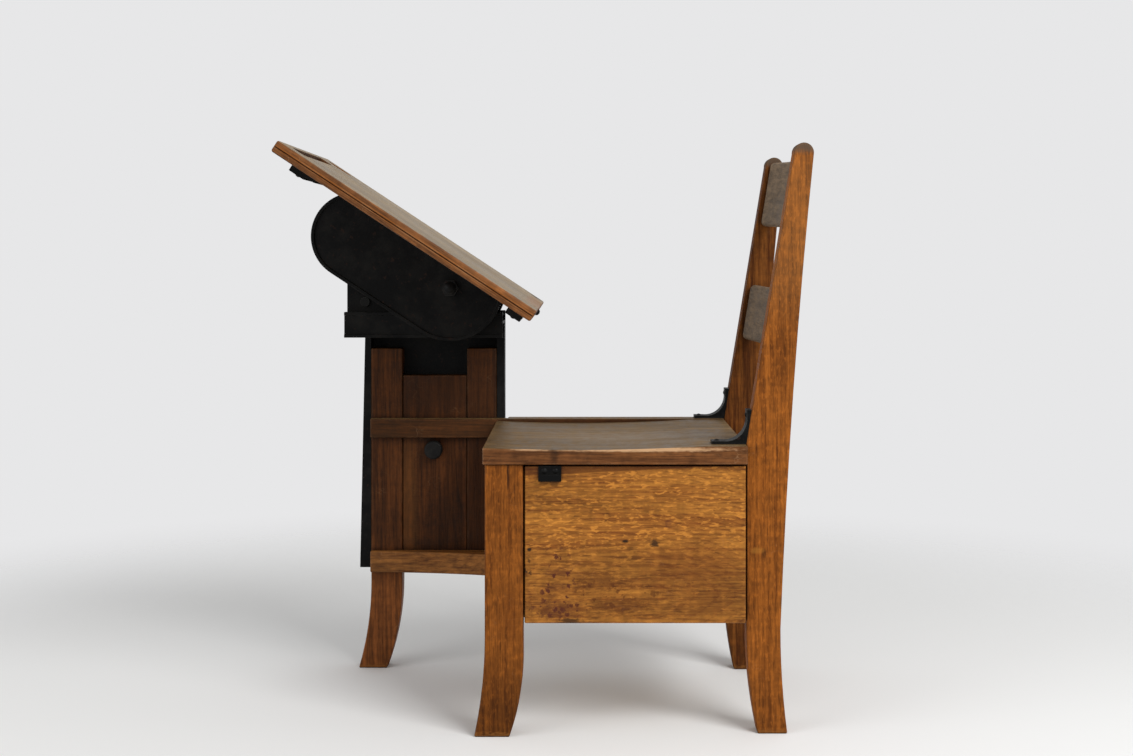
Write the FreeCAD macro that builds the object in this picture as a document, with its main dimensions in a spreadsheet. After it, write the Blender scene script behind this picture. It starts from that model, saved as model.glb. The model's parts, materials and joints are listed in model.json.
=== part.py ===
import FreeCAD, Part
import os
import re
import Sketcher

# A school chair and desk in one piece, in millimetres.
# X runs from the desk (-X) to the chair's back (+X), Y from the drawer side to the pedestal side, Z up.
# Sizes start from the seat's front edge (X = 0), the front leg's outer face (Y = 0) and the floor (Z = 0).
# The finished shapes are moved so that the origin is at the middle of the footprint, on the floor.

# Driving dimensions: alias, size, what it measures
SIZES = (
    ("seat_height", 380, "floor to the top of the seat"),
    ("seat_thickness", 24, "seat plank"),
    ("seat_depth", 346, "seat front edge to the rear posts"),
    ("seat_overhang", 5, "seat beyond the front leg's outer face"),
    ("seat_dish", 5, "depth of the hollow in the seat"),
    ("seat_nose_drop", 2, "seat front edge below the rear edge"),
    ("seat_flat", 56, "level strip at the rear of the seat"),
    ("inside_width", 341, "front leg's outer face to the seat rail"),
    ("edge_round", 2, "eased edges of the woodwork"),
    ("leg_width", 50, "front leg, seen from the side"),
    ("leg_thickness", 35, "front leg across"),
    ("leg_inset", 3, "front leg behind the seat's front edge"),
    ("foot_kick", 14, "forward kick of a front foot"),
    ("foot_width", 46, "front leg at the floor"),
    ("foot_front_rise", 130, "height at which a front foot starts to curve"),
    ("foot_rear_rise", 100, "the same on the rear edge"),
    ("post_thickness", 30, "rear post across"),
    ("post_inset", 15, "near rear post behind the front leg's outer face"),
    ("far_post_step", 4, "far rear post beyond the seat"),
    ("post_width", 45, "rear post at the drawer box, seen from the side"),
    ("post_kick", 15, "backward kick of a rear foot"),
    ("post_foot_width", 39, "rear post at the floor"),
    ("post_kick_rise", 137, "height at which a rear foot starts to curve"),
    ("post_top_width", 26, "rear post below its crown"),
    ("post_crown", 14, "rounded top of a rear post"),
    ("post_back_bow", 5, "hollow of the rear post's back edge"),
    ("back_height", 777, "floor to the top of the rear posts"),
    ("back_lean", 63, "set-back of the post's front edge at the top"),
    ("slat_thickness", 16, "back slats"),
    ("slat_setback", 4, "slats behind the post's front edge"),
    ("slat_bow", 22, "bow of the slats"),
    ("slat_round", 7, "rounded edges of the slats"),
    ("crest_drop", 7, "crest slat below the top of the rear posts"),
    ("crest_height", 96, "crest slat"),
    ("lower_slat_raise", 17, "lower slat above the middle between seat and crest slat"),
    ("lower_slat_height", 82, "lower slat"),
    ("rail_proud", 1, "seat rail above the seat"),
    ("rail_height", 29, "seat rail"),
    ("rail_width", 31, "seat rail beside the seat"),
    ("rail_lap", 13, "seat rail where it crosses the pedestal"),
    ("rail_step", 5, "full width of the seat rail behind the standard"),
    ("lower_rail_height", 32, "lower rail"),
    ("lower_rail_reach", 36, "extra width of the lower rail at the box"),
    ("box_bottom", 148, "floor to the drawer box"),
    ("box_step", 20, "drawer box behind the seat's front edge"),
    ("panel_thickness", 18, "drawer box panels"),
    ("runner_height", 16, "drawer runners"),
    ("runner_width", 18, "rear drawer runner"),
    ("drawer_gap", 2, "gap around the drawer front"),
    ("drawer_recess", 2, "drawer front behind the front leg's face"),
    ("drawer_front_thickness", 18, "drawer front"),
    ("drawer_side_thickness", 12, "drawer sides and back"),
    ("drawer_play", 3, "drawer sides clear of the leg and the box"),
    ("drawer_headroom", 11, "drawer sides below the seat"),
    ("drawer_length", 320, "rear end of the drawer from the leg's outer face"),
    ("drawer_bottom_rise", 6, "drawer bottom above the lower edge of the sides"),
    ("drawer_bottom_thickness", 6, "drawer bottom"),
    ("pull_offset", 18, "drawer pull from the end of the drawer front"),
    ("pull_width", 30, "drawer pull"),
    ("pull_height", 20, "drawer pull"),
    ("pull_plate", 2.5, "drawer pull's back plate"),
    ("pull_depth", 8, "drawer pull's lip from the drawer front"),
    ("pull_lip", 9, "height of the drawer pull's lip"),
    ("pull_wall", 3, "metal of the drawer pull's lip"),
    ("brace_width", 24, "seat braces"),
    ("brace_reach", 45, "seat brace along the seat"),
    ("brace_rise", 45, "seat brace up the post"),
    ("brace_metal", 4, "seat brace at its ends"),
    ("brace_pad", 14, "flat end of a seat brace"),
    ("brace_hollow", 0.22, "share of the reach where the brace's hollow passes"),
    ("pedestal_depth", 191, "pedestal, front to back"),
    ("front_stile_width", 47.5, "front stile"),
    ("rear_stile_width", 45, "rear stile"),
    ("stile_thickness", 30, "stiles"),
    ("stile_foot_width", 43, "front stile at the floor"),
    ("stile_kick", 19, "forward kick of the front stile's foot"),
    ("stile_clearance", 39, "stiles below the head rail"),
    ("centre_panel_thickness", 24, "panel between the stiles"),
    ("centre_panel_recess", 3, "panel behind the stiles' faces"),
    ("centre_panel_drop", 41, "panel below the top of the stiles"),
    ("slide_gap", 0.3, "running gap of sliding faces"),
    ("bore_gap", 0.05, "running gap round a pin"),
    ("standard_bottom", 153, "floor to the iron standard"),
    ("standard_metal", 3, "back plate of the standard"),
    ("front_guide_metal", 9, "guide bar at the front stile"),
    ("rear_guide_metal", 11.7, "guide bar at the rear stile"),
    ("guide_inset", 2, "guide bars behind the stiles' faces"),
    ("guide_flare", 8, "front guide bar's widening at its lower end"),
    ("iron_round", 0.8, "eased edges of the ironwork"),
    ("rivet_radius", 2.5, "rivets of the standard"),
    ("rivet_head", 4.5, "radius of a rivet head"),
    ("rivet_dome", 2.4, "height of a rivet head"),
    ("head_bottom", 506, "floor to the head rail's front skirt"),
    ("head_height", 38, "head rail's front skirt"),
    ("head_overhang", 33, "head rail in front of the front stile"),
    ("head_near", 298, "head rail's front face from the leg's outer face"),
    ("head_wall", 5, "head rail's walls and lips"),
    ("head_floor", 4, "head rail's floor"),
    ("head_lip", 15, "width of the head rail's lips"),
    ("head_ridge", 2.5, "raised bands on the head rail's front"),
    ("ridge_height", 5, "width of the raised bands"),
    ("carriage_thickness", 8.4, "carriage base"),
    ("carriage_length", 182, "carriage base along the rail"),
    ("carriage_end", 2, "carriage behind the rail's front end"),
    ("cheek_thickness", 6, "carriage cheeks"),
    ("cheek_inset", 2, "cheeks clear of the rail's lips"),
    ("cheek_round", 20, "cheek around the pivot"),
    ("spacer_radius", 6.5, "stay between the cheeks"),
    ("spacer_neck", 4, "stay where it passes the cheeks"),
    ("spacer_head", 7, "stay's riveted ends"),
    ("spacer_from_end", 27, "stay from the carriage's front end"),
    ("spacer_drop", 21, "stay below the pivot"),
    ("pivot_from_seat", 65.5, "tilt pivot in front of the seat"),
    ("pivot_rise", 36, "tilt pivot above the head rail"),
    ("bolt_radius", 8, "pivot bolt"),
    ("bolt_head_radius", 12, "pivot bolt's head"),
    ("bolt_head_height", 6, "pivot bolt's head"),
    ("bush_radius", 14, "bushes on the pivot bolt"),
    ("nut_flats", 22, "tilt nut across flats"),
    ("nut_height", 10, "tilt nut's hexagon"),
    ("nut_dome", 6.5, "tilt nut's dome"),
    ("nut_wall", 4, "metal of the tilt nut's dome"),
    ("desk_tilt", 33.4, "slope of the desktop in degrees"),
    ("pivot_to_board", 38.5, "tilt pivot to the board's underside"),
    ("board_thickness", 17, "desktop board"),
    ("board_up", 277, "desktop from the pivot to its upper edge"),
    ("board_down", 127.5, "desktop from the pivot to its lower edge"),
    ("board_width", 405, "desktop across"),
    ("board_overhang", 5, "desktop beyond the front leg's outer face"),
    ("board_round", 3, "eased edges of the desktop"),
    ("bead_from_top", 8, "groove in the desktop's edge below its top"),
    ("bead_width", 2, "groove in the desktop's edge"),
    ("groove_from_edge", 12, "pencil groove from the upper edge"),
    ("groove_width", 20, "pencil groove"),
    ("groove_depth", 5, "pencil groove"),
    ("groove_start", 45, "near end of the pencil groove from the desktop's edge"),
    ("groove_length", 250, "pencil groove"),
    ("inkwell_radius", 20, "inkwell hole"),
    ("inkwell_from_top", 34, "inkwell hole from the upper edge"),
    ("inkwell_from_side", 52, "inkwell hole from the far edge"),
    ("sector_radius", 78.5, "sector plate around the pivot"),
    ("sector_lobe", 65, "radius of the sector plate's front lobe"),
    ("sector_reach", 160, "front lobe's centre from the pivot"),
    ("sector_web", 5, "sector plate's metal"),
    ("sector_rim", 3, "height of the sector plate's rim"),
    ("sector_rim_width", 5, "width of the sector plate's rim"),
    ("sector_clear", 3.5, "sector plates clear of the head rail and the standard"),
    ("flange_width", 24, "sector plate's flange under the board"),
    ("flange_metal", 4, "sector plate's flange"),
    ("cleat_width", 23, "cleats across the underside of the desktop"),
    ("cleat_metal", 9, "cleats' metal"),
    ("cleat_foot", 14, "thin foot of a cleat, toward the pivot"),
    ("cleat_foot_metal", 5, "thin foot of a cleat"),
    ("cleat_margin_up", 30, "upper cleat short of the upper edge"),
    ("cleat_margin_down", 11.5, "lower cleat short of the lower edge"),
    ("cleat_start", 20, "near end of a cleat from the desktop's edge"),
    ("cleat_screw", 14, "near screw of a cleat from its end"),
    ("button_radius", 5, "button on the desktop's lower edge"),
    ("button_height", 4, "button on the desktop's lower edge"),
    ("button_share", 0.4, "share of the desktop's width to the button"),
    ("knob_drop", 19, "height knob below the seat rail"),
    ("knob_radius", 13.75, "height knob"),
    ("knob_thickness", 11, "height knob's disc"),
    ("knob_neck", 8, "radius of the height knob's neck"),
    ("knob_neck_length", 5, "height knob's neck"),
    ("knob_round", 3, "rounded rim of the height knob"),
    ("stud_radius", 5, "clamp stud"),
    ("stud_grip", 8, "clamp stud inside the knob"),
    ("stud_tail", 4, "clamp stud beyond its nut"),
    ("clamp_nut_size", 22, "square clamp nut"),
    ("clamp_nut_height", 8, "square clamp nut"),
    ("lift_travel", 100, "height adjustment of the desktop, upward"),
    ("drop_travel", 30, "height adjustment of the desktop, downward"),
    ("slot_gap", 1, "standard's slot clear of the stud"),
    ("screw_radius", 2, "wood screws"),
    ("screw_head", 4, "radius of a wood screw's head"),
    ("screw_dome", 2, "height of a wood screw's head"),
    ("screw_bite", 10, "wood screws in the wood"),
    ("screw_slot", 1, "slot in a screw's head"),
    ("slot_depth", 1.1, "depth of the slot in a screw's head"),
)
ALIASES = {alias for alias, size, note in SIZES}

doc = FreeCAD.newDocument("chair_desk")
dim = doc.addObject("Spreadsheet::Sheet", "dim")
for row, (alias, size, note) in enumerate(SIZES, start=1):
    dim.set(f"A{row}", note)
    dim.set(f"B{row}", str(size))
    dim.setAlias(f"B{row}", alias)
doc.recompute()

pieces = []


def bound(text):
    """Turns sizes written by their aliases into an expression on the sheet."""
    return re.sub(r"[a-z][a-z_]*", lambda word: f"dim.{word[0]}" if word[0] in ALIASES else word[0], text)


def value(text):
    """Number that an expression on the sheet has now."""
    return float(dim.evalExpression(bound(text)))


def total(*terms):
    """Sum of several expressions."""
    return " + ".join(f"({term})" for term in terms)


def less(first, *terms):
    """First expression less the others."""
    return " - ".join(f"({term})" for term in (first,) + terms)


def place(thing, x="0", y="0", z="0", turn=None):
    """Binds a body's place and, where it is tilted, its turn about the Y axis."""
    if turn is not None:
        about_y = FreeCAD.Rotation(FreeCAD.Vector(0, 1, 0), value(turn))
        thing.Placement = FreeCAD.Placement(FreeCAD.Vector(), about_y)
        thing.setExpression("Placement.Rotation.Angle", bound(turn))
    for axis, text in zip("xyz", (x, y, z)):
        thing.setExpression(f"Placement.Base.{axis}", bound(text))


def new_body(label, x="0", y="0", z="0", turn=None):
    """Empty body at a bound place."""
    body = doc.addObject("PartDesign::Body", label)
    body.Label = label
    place(body, x, y, z, turn)
    return body


def keep(piece):
    """Counts a finished body as one sub-part of the object."""
    pieces.append(piece)
    return piece


def new_sketch(body, role, offset):
    """Empty sketch on one of the body's origin planes, moved along that plane's normal."""
    sketch = body.newObject("Sketcher::SketchObject", "outline")
    plane = next(feature for feature in body.Origin.OriginFeatures if feature.Role == role)
    sketch.AttachmentSupport = (plane, [""])
    sketch.MapMode = "FlatFace"
    sketch.setExpression("AttachmentOffset.Base.z", bound(offset))
    return sketch


def fix_point(sketch, geometry, end, x, y):
    """Binds one point of a sketch to its place from the sketch's origin."""
    for kind, text in (("DistanceX", x), ("DistanceY", y)):
        index = sketch.addConstraint(Sketcher.Constraint(kind, -1, 1, geometry, end, value(text)))
        sketch.setExpression(f"Constraints[{index}]", bound(text))


def outline(body, role, corners, offset="0"):
    """Closed outline. A corner is a pair of expressions, and a third entry, a pair of its own,
    is a point on the arc that leads from that corner to the next one."""
    sketch = new_sketch(body, role, offset)
    points = [FreeCAD.Vector(value(corner[0]), value(corner[1]), 0) for corner in corners]
    ends = points[1:] + points[:1]
    starts_at = []
    for corner, start, end in zip(corners, points, ends):
        if len(corner) == 3:
            middle = FreeCAD.Vector(value(corner[2][0]), value(corner[2][1]), 0)
            edge = sketch.addGeometry(Part.Arc(start, middle, end), False)
        else:
            edge = sketch.addGeometry(Part.LineSegment(start, end), False)
        first_gap = sketch.getPoint(edge, 1).distanceToPoint(start)
        second_gap = sketch.getPoint(edge, 2).distanceToPoint(start)
        starts_at.append(1 if first_gap < second_gap else 2)
    count = len(corners)
    for edge, corner in enumerate(corners):
        following = (edge + 1) % count
        sketch.addConstraint(
            Sketcher.Constraint("Coincident", edge, 3 - starts_at[edge], following, starts_at[following]))
        fix_point(sketch, edge, starts_at[edge], corner[0], corner[1])
    for edge, corner in enumerate(corners):
        if len(corner) == 3:
            middle = FreeCAD.Vector(value(corner[2][0]), value(corner[2][1]), 0)
            point = sketch.addGeometry(Part.Point(middle), True)
            fix_point(sketch, point, 1, corner[2][0], corner[2][1])
            sketch.addConstraint(Sketcher.Constraint("PointOnObject", point, 1, edge))
    return sketch


def circles(body, role, centres, radius, offset="0"):
    """Sketch of equal circles."""
    sketch = new_sketch(body, role, offset)
    for x, y in centres:
        centre = FreeCAD.Vector(value(x), value(y), 0)
        ring = sketch.addGeometry(Part.Circle(centre, FreeCAD.Vector(0, 0, 1), value(radius)), False)
        fix_point(sketch, ring, 3, x, y)
        index = sketch.addConstraint(Sketcher.Constraint("Radius", ring, value(radius)))
        sketch.setExpression(f"Constraints[{index}]", bound(radius))
    return sketch


def pad(body, sketch, length, reverse=False):
    """Adds the sketch's outline as a prism."""
    feature = body.newObject("PartDesign::Pad", "pad")
    feature.Profile = sketch
    feature.setExpression("Length", bound(length))
    feature.Reversed = reverse
    return feature


def cut(body, sketch, depth=None, reverse=False):
    """Cuts the sketch's outline to a depth, or right through the body both ways."""
    doc.recompute()
    before = body.Shape.Volume
    feature = body.newObject("PartDesign::Pocket", "cut")
    feature.Profile = sketch
    if depth is None:
        feature.SideType = "Symmetric"
        feature.Type = "ThroughAll"
    else:
        feature.setExpression("Length", bound(depth))
        feature.Reversed = reverse
    doc.recompute()
    if not body.Shape.Volume < before:
        raise RuntimeError(f"{body.Label}: a cut removed nothing")
    return feature


def turned(body, role, axis, corners):
    """Adds a piece turned about an axis of its sketch."""
    sketch = outline(body, role, corners)
    feature = body.newObject("PartDesign::Revolution", "turned")
    feature.Profile = sketch
    feature.ReferenceAxis = (sketch, [axis])
    feature.Angle = 360
    return feature


LEAST_EASED_ANGLE = 0.5


def sharp_edges(shape):
    """Names of the edges where two faces meet at an angle that can be eased."""
    names = []
    for number, edge in enumerate(shape.Edges, start=1):
        faces = shape.ancestorsOfType(edge, Part.Face)
        if len(faces) != 2:
            continue
        middle = edge.valueAt((edge.FirstParameter + edge.LastParameter) / 2)
        normals = [face.normalAt(*face.Surface.parameter(middle)) for face in faces]
        if normals[0].getAngle(normals[1]) > LEAST_EASED_ANGLE:
            names.append(f"Edge{number}")
    return names


def ease(body, radius="edge_round"):
    """Rounds the sharp edges of a body."""
    doc.recompute()
    base = body.Tip
    feature = body.newObject("PartDesign::Fillet", "eased")
    feature.Base = (base, sharp_edges(base.Shape))
    feature.setExpression("Radius", bound(radius))
    return feature


def rectangle(x_start, x_end, y_start, y_end):
    """Corners of a rectangle."""
    return [(x_start, y_start), (x_end, y_start), (x_end, y_end), (x_start, y_end)]


def side_cut(label, corners, start, thickness, turn=None, x="0", z="0"):
    """Body with an outline seen from the side, running away from the near side."""
    body = new_body(label, x, start, z, turn)
    pad(body, outline(body, "XZ_Plane", corners), thickness, reverse=True)
    return body


def plank(label, x, y, z, radius="edge_round"):
    """Straight board from three pairs of start and end."""
    body = new_body(label, z=z[0])
    pad(body, outline(body, "XY_Plane", rectangle(*x, *y)), less(z[1], z[0]))
    if radius:
        ease(body, radius)
    return keep(body)


def group(label, members):
    """One sub-part of several like pieces."""
    compound = doc.addObject("Part::Compound", label)
    compound.Label = label
    compound.Links = members
    return keep(compound)


def flare(foot, upright, rise):
    """Point halfway along the curve of a foot that leaves an upright edge."""
    return f"({upright}) - (({upright}) - ({foot})) / 4", f"({rise}) / 2"


def dome(radius, height):
    """Point halfway out on a round cap, given as its distance from the axis and its height."""
    ball = f"(({radius}) ^ 2 + ({height}) ^ 2) / (2 * ({height}))"
    return f"({radius}) / 2", f"sqrt(({ball}) ^ 2 - ({radius}) ^ 2 / 4) - {ball} + ({height})"


# Places that several pieces share
SEAT_UNDER = "seat_height - seat_thickness"
RAIL_TOP = "seat_height + rail_proud"
RAIL_BOTTOM = less(RAIL_TOP, "rail_height")
BRACE_SCREW_X = "seat_depth - brace_reach + brace_pad / 2"
PEDESTAL_FACE = "inside_width + rail_lap"
PEDESTAL_BACK = total(PEDESTAL_FACE, "stile_thickness")
PLATE_FACE = total(PEDESTAL_BACK, "slide_gap")
PLATE_BACK = total(PLATE_FACE, "standard_metal")
GUIDE_FRONT = "-pedestal_depth - slide_gap - front_guide_metal"
GUIDE_REAR = "slide_gap + rear_guide_metal"
HEAD_TOP = "head_bottom + head_height"
HEAD_FRONT = "-pedestal_depth - head_overhang"
CARRIAGE_TOP = less(HEAD_TOP, "head_wall", "slide_gap")
CARRIAGE_BOTTOM = less(CARRIAGE_TOP, "carriage_thickness")
FLOOR_TOP = less(CARRIAGE_BOTTOM, "slide_gap")
FLOOR_BOTTOM = less(FLOOR_TOP, "head_floor")
STILE_TOP = less(FLOOR_BOTTOM, "stile_clearance")
PANEL_TOP = less(STILE_TOP, "centre_panel_drop")
FAR_POST = "inside_width + far_post_step"
CREST_BOTTOM = "back_height - crest_drop - crest_height"
LOWER_SLAT_BOTTOM = f"(seat_height + {CREST_BOTTOM} - lower_slat_height) / 2 + lower_slat_raise"
BACK_SLOPE = "back_lean / (back_height - post_crown - seat_height)"
DRAWER_BACK_FACE = "drawer_recess + drawer_front_thickness"
DRAWER_BASE = "box_bottom + runner_height + slide_gap"
DRAWER_TOP = less(SEAT_UNDER, "drawer_headroom")
DRAWER_INNER_FRONT = "leg_inset + leg_width + drawer_play + drawer_side_thickness"
DRAWER_INNER_REAR = "seat_depth - panel_thickness - drawer_play - drawer_side_thickness"
PIVOT_X = "-pivot_from_seat"
PIVOT_Z = total(HEAD_TOP, "pivot_rise")
KNOB_X = "-pedestal_depth / 2"
KNOB_Z = less(RAIL_BOTTOM, "knob_drop")
KNOB_BACK = total(PEDESTAL_FACE, "centre_panel_recess - slide_gap")
BOARD_TOP = "pivot_to_board + board_thickness"
NEAR_WEB = less("head_near", "head_ridge", "sector_clear", "sector_web")
FAR_WEB = total(PLATE_BACK, "sector_clear")
CARRIAGE_FRONT = total(HEAD_FRONT, "carriage_end")
NEAR_CHEEK = total("head_near", "head_lip", "cheek_inset")
FAR_CHEEK = less(PLATE_FACE, "head_lip", "cheek_inset", "cheek_thickness")


# Chair

def front_leg():
    front = "leg_inset"
    rear = "leg_inset + leg_width"
    toe = "leg_inset - foot_kick"
    heel = total(toe, "foot_width")
    body = side_cut("front_leg", [
        (toe, "0"),
        (heel, "0", flare(heel, rear, "foot_rear_rise")),
        (rear, "foot_rear_rise"),
        (rear, SEAT_UNDER),
        (front, SEAT_UNDER),
        (front, "foot_front_rise", flare(toe, front, "foot_front_rise")),
    ], "0", "leg_thickness")
    ease(body)
    return keep(body)


def post_front(height):
    """Front edge of a rear post above the seat."""
    return f"seat_depth + (({height}) - seat_height) * {BACK_SLOPE}"


def rear_post(label, start, brace_base):
    front = "seat_depth"
    rear = "seat_depth + post_width"
    toe = "seat_depth + post_kick"
    heel = total(toe, "post_foot_width")
    shoulder = "back_height - post_crown"
    top_front = post_front(shoulder)
    top_rear = total(top_front, "post_top_width")
    body = side_cut(label, [
        (toe, "0"),
        (heel, "0", flare(heel, rear, "post_kick_rise")),
        (rear, "post_kick_rise",
         (f"({rear} + {top_rear}) / 2 - post_back_bow", f"(post_kick_rise + {shoulder}) / 2")),
        (top_rear, shoulder, (f"{top_front} + post_top_width / 2", "back_height")),
        (top_front, shoulder),
        (front, "seat_height"),
        (front, "post_kick_rise", flare(toe, front, "post_kick_rise")),
    ], start, "post_thickness")
    ease(body)
    screw_z = total(brace_base, "brace_rise - brace_pad / 2")
    bite_end = total(brace_pad_face(brace_base), "brace_metal + screw_bite")
    hole = circles(body, "YZ_Plane", [("post_thickness / 2", screw_z)], "screw_radius")
    cut(body, hole, bite_end, reverse=True)
    return keep(body)


def slat(label, bottom, height):
    lean = "atan2(back_lean; back_height - post_crown - seat_height)"
    near = "post_inset + post_thickness"
    middle = f"({near} + {FAR_POST}) / 2"
    body = new_body(label, total(post_front(bottom), "slat_setback"), "0", bottom, lean)
    pad(body, outline(body, "XY_Plane", [
        ("0", near),
        ("slat_thickness", near, ("slat_thickness + slat_bow", middle)),
        ("slat_thickness", FAR_POST),
        ("0", FAR_POST, ("slat_bow", middle)),
    ]), f"({height}) / cos({lean})")
    ease(body, "slat_round")
    return keep(body)


def seat():
    rear_strip = "seat_depth - seat_flat"
    body = side_cut("seat", [
        ("0", SEAT_UNDER),
        ("seat_depth", SEAT_UNDER),
        ("seat_depth", "seat_height"),
        (rear_strip, "seat_height", (f"({rear_strip}) / 2", "seat_height - seat_dish")),
        ("0", "seat_height - seat_nose_drop"),
    ], "-seat_overhang", "seat_overhang + inside_width")
    ease(body)
    screw_y = "seat_overhang + post_inset + post_thickness / 2"
    hole = circles(body, "XY_Plane", [(BRACE_SCREW_X, screw_y)], "screw_radius", "seat_height")
    cut(body, hole, "screw_bite")
    return keep(body)


def seat_rail():
    body = new_body("seat_rail", z=RAIL_BOTTOM)
    step = total(GUIDE_REAR, "rail_step")
    pad(body, outline(body, "XY_Plane", [
        ("-pedestal_depth", "inside_width"),
        ("seat_depth", "inside_width"),
        ("seat_depth", "inside_width + rail_width"),
        (step, "inside_width + rail_width"),
        (step, PEDESTAL_FACE),
        ("-pedestal_depth", PEDESTAL_FACE),
    ]), "rail_height")
    ease(body)
    screw_y = total(FAR_POST, "post_thickness / 2")
    hole = circles(body, "XY_Plane", [(BRACE_SCREW_X, screw_y)], "screw_radius", "rail_height")
    cut(body, hole, "screw_bite")
    return keep(body)


def lower_rail():
    near = "inside_width - lower_rail_reach"
    body = new_body("lower_rail", z="box_bottom")
    pad(body, outline(body, "XY_Plane", [
        ("-pedestal_depth", "inside_width",
         ("-pedestal_depth / 2 + box_step / 2", "inside_width - lower_rail_reach / 4")),
        ("box_step", near),
        ("box_step", PEDESTAL_FACE),
        ("-pedestal_depth", PEDESTAL_FACE),
    ]), "lower_rail_height")
    ease(body)
    return keep(body)


def drawer_box():
    rear_face = "seat_depth - panel_thickness"
    behind_drawer = total(DRAWER_BACK_FACE, "slide_gap")
    front_inner = "box_step + panel_thickness"
    front_run = ("leg_thickness", "inside_width")
    rear_run = (behind_drawer, "inside_width")
    tall = ("box_bottom", SEAT_UNDER)
    plank("box_front_panel", ("box_step", front_inner), front_run, tall)
    plank("box_rear_panel", (rear_face, "seat_depth"), rear_run, tall)
    plank("box_back_panel", ("box_step", "seat_depth"), ("inside_width", "inside_width + panel_thickness"),
          ("box_bottom", RAIL_BOTTOM))
    runner = ("box_bottom", "box_bottom + runner_height")
    plank("front_runner", (front_inner, DRAWER_INNER_FRONT), front_run, runner)
    plank("rear_runner", (less(rear_face, "runner_width"), rear_face), rear_run, runner)


# Iron braces between the seat and the posts

def brace_pad_face(base):
    """Upright pad of a brace, where its screw head sits."""
    return less(post_front(total(base, "brace_rise - brace_pad")), "brace_metal")


def seat_brace(label, start, base):
    top = total(base, "brace_rise")
    pad_face = brace_pad_face(base)
    tip = "seat_depth - brace_reach"
    body = side_cut(label, [
        (tip, base),
        (post_front(base), base),
        (post_front(top), top),
        (pad_face, top),
        (pad_face, less(top, "brace_pad"),
         ("seat_depth - brace_reach * brace_hollow", total(base, "brace_rise * brace_hollow"))),
        (total(tip, "brace_pad"), total(base, "brace_metal")),
        (tip, total(base, "brace_metal")),
    ], start, "brace_width")
    cut(body, circles(body, "XY_Plane", [(BRACE_SCREW_X, "brace_width / 2")], "screw_radius"))
    screw_z = total(base, "brace_rise - brace_pad / 2")
    cut(body, circles(body, "YZ_Plane", [("brace_width / 2", screw_z)], "screw_radius"))
    return keep(body)


def wood_screw(label, grip, x, y, z, turn=None):
    """Round-headed screw along its own Z axis, with its head's underside at its origin."""
    body = new_body(label, x, y, z, turn)
    tip = f"-({grip}) - screw_bite"
    turned(body, "XZ_Plane", "V_Axis", [
        ("0", tip),
        ("screw_radius", tip),
        ("screw_radius", "0"),
        ("screw_head", "0", dome("screw_head", "screw_dome")),
        ("0", "screw_dome"),
    ])
    slot = rectangle("-screw_head", "screw_head", "-screw_slot / 2", "screw_slot / 2")
    cut(body, outline(body, "XY_Plane", slot, "screw_dome"), "slot_depth")
    return body


def braces():
    margin = "(post_thickness - brace_width) / 2"
    sides = (("left", "post_inset", "seat_height"), ("right", FAR_POST, RAIL_TOP))
    screws = []
    for side, post, base in sides:
        seat_brace(f"{side}_seat_brace", total(post, margin), base)
        centre = total(post, "post_thickness / 2")
        flat_z = total(base, "brace_metal")
        upright_x = brace_pad_face(base)
        upright_z = total(base, "brace_rise - brace_pad / 2")
        screws.append(wood_screw(f"{side}_seat_screw", "brace_metal", BRACE_SCREW_X, centre, flat_z))
        screws.append(wood_screw(f"{side}_post_screw", "brace_metal", upright_x, centre, upright_z, "-90"))
    group("brace_screws", screws)


# Pedestal

def pedestal():
    front = "-pedestal_depth"
    inner_front = "-pedestal_depth + front_stile_width"
    toe = "-pedestal_depth - stile_kick"
    heel = total(toe, "stile_foot_width")
    stile = side_cut("pedestal_front_stile", [
        (toe, "0"),
        (heel, "0", flare(heel, inner_front, "foot_front_rise")),
        (inner_front, "foot_front_rise"),
        (inner_front, STILE_TOP),
        (front, STILE_TOP),
        (front, "foot_front_rise", flare(toe, front, "foot_front_rise")),
    ], PEDESTAL_FACE, "stile_thickness")
    ease(stile)
    keep(stile)
    plank("pedestal_rear_stile", ("-rear_stile_width", "0"), (PEDESTAL_FACE, PEDESTAL_BACK),
          ("box_bottom", STILE_TOP))
    face = rectangle(inner_front, "-rear_stile_width", "box_bottom", PANEL_TOP)
    panel = side_cut("pedestal_panel", face, total(PEDESTAL_FACE, "centre_panel_recess"),
                     "centre_panel_thickness")
    ease(panel)
    cut(panel, circles(panel, "XZ_Plane", [(KNOB_X, KNOB_Z)], "stud_radius + bore_gap"))
    keep(panel)


def height_clamp():
    knob = new_body("height_knob", KNOB_X, KNOB_BACK, KNOB_Z)
    face = "-knob_neck_length - knob_thickness"
    turned(knob, "XY_Plane", "V_Axis", [
        ("0", face),
        ("knob_radius - knob_round", face,
         ("knob_radius - knob_round + knob_round * sin(45)", f"{face} + knob_round - knob_round * cos(45)")),
        ("knob_radius", f"{face} + knob_round"),
        ("knob_radius", "-knob_neck_length"),
        ("knob_neck", "-knob_neck_length"),
        ("knob_neck", "0"),
        ("0", "0"),
    ])
    cut(knob, circles(knob, "XZ_Plane", [("0", "0")], "stud_radius"), "stud_grip", reverse=True)
    keep(knob)
    stud = new_body("clamp_stud", KNOB_X, less(KNOB_BACK, "stud_grip"), KNOB_Z)
    nut_face = total(PLATE_BACK, "slide_gap")
    length = less(total(nut_face, "clamp_nut_height + stud_tail"), less(KNOB_BACK, "stud_grip"))
    turned(stud, "XY_Plane", "V_Axis", rectangle("0", "stud_radius", "0", length))
    keep(stud)
    half = "clamp_nut_size / 2"
    nut = side_cut("clamp_nut", rectangle(f"-{half}", half, f"-{half}", half), nut_face, "clamp_nut_height",
                   x=KNOB_X, z=KNOB_Z)
    ease(nut, "edge_round / 2")
    cut(nut, circles(nut, "XZ_Plane", [("0", "0")], "stud_radius + bore_gap"))
    keep(nut)


# Drawer

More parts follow.
